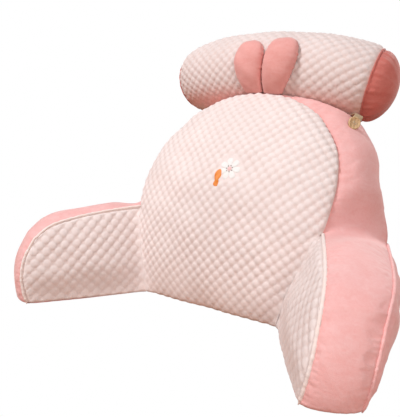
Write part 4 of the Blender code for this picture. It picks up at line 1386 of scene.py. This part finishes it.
class PILLOW_OT_ears(Operator):
    """Two stuffed ears against the front of the roll"""
    bl_idname = "pillow.ears"
    bl_label = "Ears"

    def execute(self, context):
        for side, label in SIDES:
            grid, near = stuffed_ear(side, label)
            faces = grid_faces(*grid.shape[:2], wrap=True)
            faces.append(tuple(range(grid.shape[1]))[::-1])
            make_piece("ear_" + label + "_plush", grid, faces, material("Ear plush"), "pink_plush",
                       0.75, ["ear_" + label], seam=near)
        return {"FINISHED"}


class PILLOW_OT_fastenings(Operator):
    """Buttons with their thread, and the tabs that hold the roll"""
    bl_idname = "pillow.fastenings"
    bl_label = "Buttons and Tabs"

    def execute(self, context):
        for side, label in SIDES:
            sewn_button(side, label)
            woven_tab(side, label)
        return {"FINISHED"}


class PILLOW_OT_seams(Operator):
    """Turned seams that stand proud along the arms"""
    bl_idname = "pillow.seams"
    bl_label = "Seam Ridges"

    def execute(self, context):
        radius = sizes().seam_radius
        for side, label in SIDES:
            path, facing = arm_seam(side, 0.0, -0.35)
            seam_ridge("arm_lip_" + label, path, facing, radius * 1.3, "Seam lip plush",
                       "quilted_plush", 101, 0.0005)
            path, facing = arm_seam(side, 1.0, 0.35)
            seam_ridge("arm_ridge_" + label, path, facing, radius * 1.15, "Pink plush",
                       "pink_plush", 103, 0.0015)
        return {"FINISHED"}


class PILLOW_OT_flower(Operator):
    """Small satin-stitched flower and bud on the quilted backrest"""
    bl_idname = "pillow.flower"
    bl_label = "Sewn Flower"

    def execute(self, context):
        graph = context.evaluated_depsgraph_get()
        cloth = BVHTree.FromObject(bpy.data.objects["back_quilt"], graph)
        across, up = MOTIF_PLACE
        place = back_point(across, up / BACK_FRONT_LENGTH, 0.0)
        rise = unit(back_point(across, up / BACK_FRONT_LENGTH + 0.01, 0.0) - place)
        level = np.array((1.0, 0.0, 0.0))
        axes = (place + PLACE, rise, level, np.cross(level, rise))
        petal = leaf_shape(*PETAL_SIZE)
        petals = [turned(petal, angle, root) for angle, root in zip(*ring_places(PETAL_ROOT, 0.0))]
        bud = [turned(leaf_shape(*leaf), BUD_ANGLE, at) for leaf, at in BUD_LEAVES]
        dots = [disc_shape(DOT_RADIUS, 12) + at for at in ring_places(DOT_RING, 0.5)[1]]
        for name, shapes, height, yarn, slot in (
                ("flower_petals", petals, 0.0012, "White yarn", "quilted_plush"),
                ("flower_middle", [disc_shape(MIDDLE_RADIUS)], 0.0018, "Pink yarn", "pink_plush"),
                ("flower_bud", bud, 0.0016, "Orange yarn", "pink_plush"),
                ("flower_dots", dots, 0.0022, "Dark yarn", "webbing")):
            stacks = [satin_patch(cloth, axes, shape, height) for shape in shapes]
            make_rings(name, stacks, material(yarn), slot, foot=False)
        return {"FINISHED"}


# ---- stage ----
WORLD_LIGHT = 0.33
WORLD_TONE = (1.0, 0.955, 0.94, 1.0)
LAMPS = (
    ("key", (-1.3, -1.7, 2.8), 0.5, 76.0, (0.965, 0.985, 1.0)),
    ("fill", (2.3, -2.3, 1.5), 2.0, 46.0, (1.0, 0.985, 0.975)),
    ("rear", (0.9, 3.2, 1.3), 2.0, 48.0, (1.0, 0.98, 0.97)),
)
LAMPS_AIM = (0.0, 0.0, 0.3)
FLOOR_REACH_OUT = 6.0
FLOOR_LEVEL = -0.0006
FRAME_WIDTH, FRAME_HEIGHT = 400, 417
CAMERA_TURN = math.radians(34.87)
CAMERA_RISE = math.radians(12.29)
CAMERA_ROLL = math.radians(-1.23)
CAMERA_DISTANCE = 1.1774
CAMERA_TARGET = (0.0069, 0.0, 0.1945)
CAMERA_FOCUS = 517.35
CAMERA_CENTRE = (210.95, 228.13)


def place_floor(scene):
    """Floor that the camera sees as white, and that throws warm light back."""
    data = bpy.data.meshes.new("floor")
    corners = ((-1, -1), (1, -1), (1, 1), (-1, 1))
    data.from_pydata([(x * FLOOR_REACH_OUT, y * FLOOR_REACH_OUT, FLOOR_LEVEL) for x, y in corners],
                     [], [(0, 1, 2, 3)])
    nodes, shader = start_material("Pale floor")
    nodes.fill(shader, {"Base Color": (0.33, 0.118, 0.030, 1.0), "Roughness": 0.9})
    white = nodes.add("ShaderNodeEmission", {"Color": WHITE, "Strength": 1.0})[0]
    seen = nodes.add("ShaderNodeLightPath")["Is Camera Ray"]
    mixed = nodes.add("ShaderNodeMixShader", {0: seen, 1: shader.outputs[0], 2: white})[0]
    nodes.fill(nodes.tree.nodes["Material Output"], {0: mixed})
    data.materials.append(bpy.data.materials["Pale floor"])
    floor = bpy.data.objects.new("floor", data)
    scene.collection.objects.link(floor)


def light_scene(scene):
    """Soft surroundings, seen as white by the camera, and the lamps."""
    world = bpy.data.worlds.new("Soft studio")
    world.use_nodes = True
    scene.world = world
    scene.view_settings.view_transform = "Standard"
    nodes = Nodes(world.node_tree)
    seen = nodes.add("ShaderNodeLightPath")["Is Camera Ray"]
    nodes.fill(world.node_tree.nodes["Background"],
               {"Color": nodes.blend(seen, WORLD_TONE, WHITE),
                "Strength": nodes.spread(seen, 0.0, 1.0, WORLD_LIGHT, 1.0)})
    for name, at, size, power, tint in LAMPS:
        light = bpy.data.lights.new(name, "AREA")
        light.shape, light.size, light.energy, light.color = "DISK", size, power, tint
        lamp = bpy.data.objects.new(name, light)
        scene.collection.objects.link(lamp)
        lamp.location = at
        lamp.rotation_mode = "QUATERNION"
        lamp.rotation_quaternion = (Vector(LAMPS_AIM) - lamp.location).to_track_quat("-Z", "Y")


def aim_camera(scene):
    """Camera at its place round the pillow's foot, with its slight roll."""
    back = np.array((math.sin(CAMERA_TURN) * math.cos(CAMERA_RISE),
                     -math.cos(CAMERA_TURN) * math.cos(CAMERA_RISE), math.sin(CAMERA_RISE)))
    level = np.array((math.cos(CAMERA_TURN), math.sin(CAMERA_TURN), 0.0))
    up = np.cross(back, level)
    c, s = math.cos(CAMERA_ROLL), math.sin(CAMERA_ROLL)
    data = bpy.data.cameras.new("camera")
    camera = bpy.data.objects.new("camera", data)
    scene.collection.objects.link(camera)
    place = np.array(CAMERA_TARGET) + back * CAMERA_DISTANCE + PLACE
    turn = Matrix((level * c - up * s, level * s + up * c, back)).transposed()
    camera.matrix_world = Matrix.Translation(Vector(place)) @ turn.to_4x4()
    side = max(FRAME_WIDTH, FRAME_HEIGHT)
    data.lens = data.sensor_width * CAMERA_FOCUS / side
    data.shift_x = -(CAMERA_CENTRE[0] - FRAME_WIDTH / 2) / side
    data.shift_y = (CAMERA_CENTRE[1] - FRAME_HEIGHT / 2) / side
    data.clip_start = 0.05
    scene.camera = camera


class PILLOW_OT_stage(Operator):
    """Pale floor, soft light and the camera"""
    bl_idname = "pillow.stage"
    bl_label = "Stage"

    def execute(self, context):
        place_floor(context.scene)
        light_scene(context.scene)
        aim_camera(context.scene)
        return {"FINISHED"}


class PILLOW_PT_dress(Panel):
    """Sizes, colours and the pieces in the order in which they are made"""
    bl_idname = "PILLOW_PT_dress"
    bl_label = "Reading Pillow"
    bl_space_type = "VIEW_3D"
    bl_region_type = "UI"
    bl_category = "Pillow"

    def draw(self, context):
        for group in (context.scene.pillow_sizes, context.scene.pillow_colours):
            box = self.layout.box()
            for key in group.__annotations__:
                box.prop(group, key)
        for kind in OPERATORS:
            self.layout.operator(kind.bl_idname)


OPERATORS = (PILLOW_OT_quilts, PILLOW_OT_band, PILLOW_OT_plain, PILLOW_OT_roll, PILLOW_OT_ears,
             PILLOW_OT_fastenings, PILLOW_OT_seams, PILLOW_OT_flower, PILLOW_OT_stage)
CLASSES = (PillowSizes, PillowColours, *OPERATORS, PILLOW_PT_dress)


def register():
    for kind in CLASSES:
        bpy.utils.register_class(kind)
    bpy.types.Scene.pillow_sizes = PointerProperty(type=PillowSizes)
    bpy.types.Scene.pillow_colours = PointerProperty(type=PillowColours)


def unregister():
    del bpy.types.Scene.pillow_colours
    del bpy.types.Scene.pillow_sizes
    for kind in reversed(CLASSES):
        bpy.utils.unregister_class(kind)


def main():
    register()
    bpy.ops.pillow.quilts()
    bpy.ops.pillow.band()
    bpy.ops.pillow.plain()
    bpy.ops.pillow.roll()
    bpy.ops.pillow.ears()
    bpy.ops.pillow.fastenings()
    bpy.ops.pillow.seams()
    bpy.ops.pillow.flower()
    bpy.ops.pillow.stage()


if __name__ == "__main__":
    main()
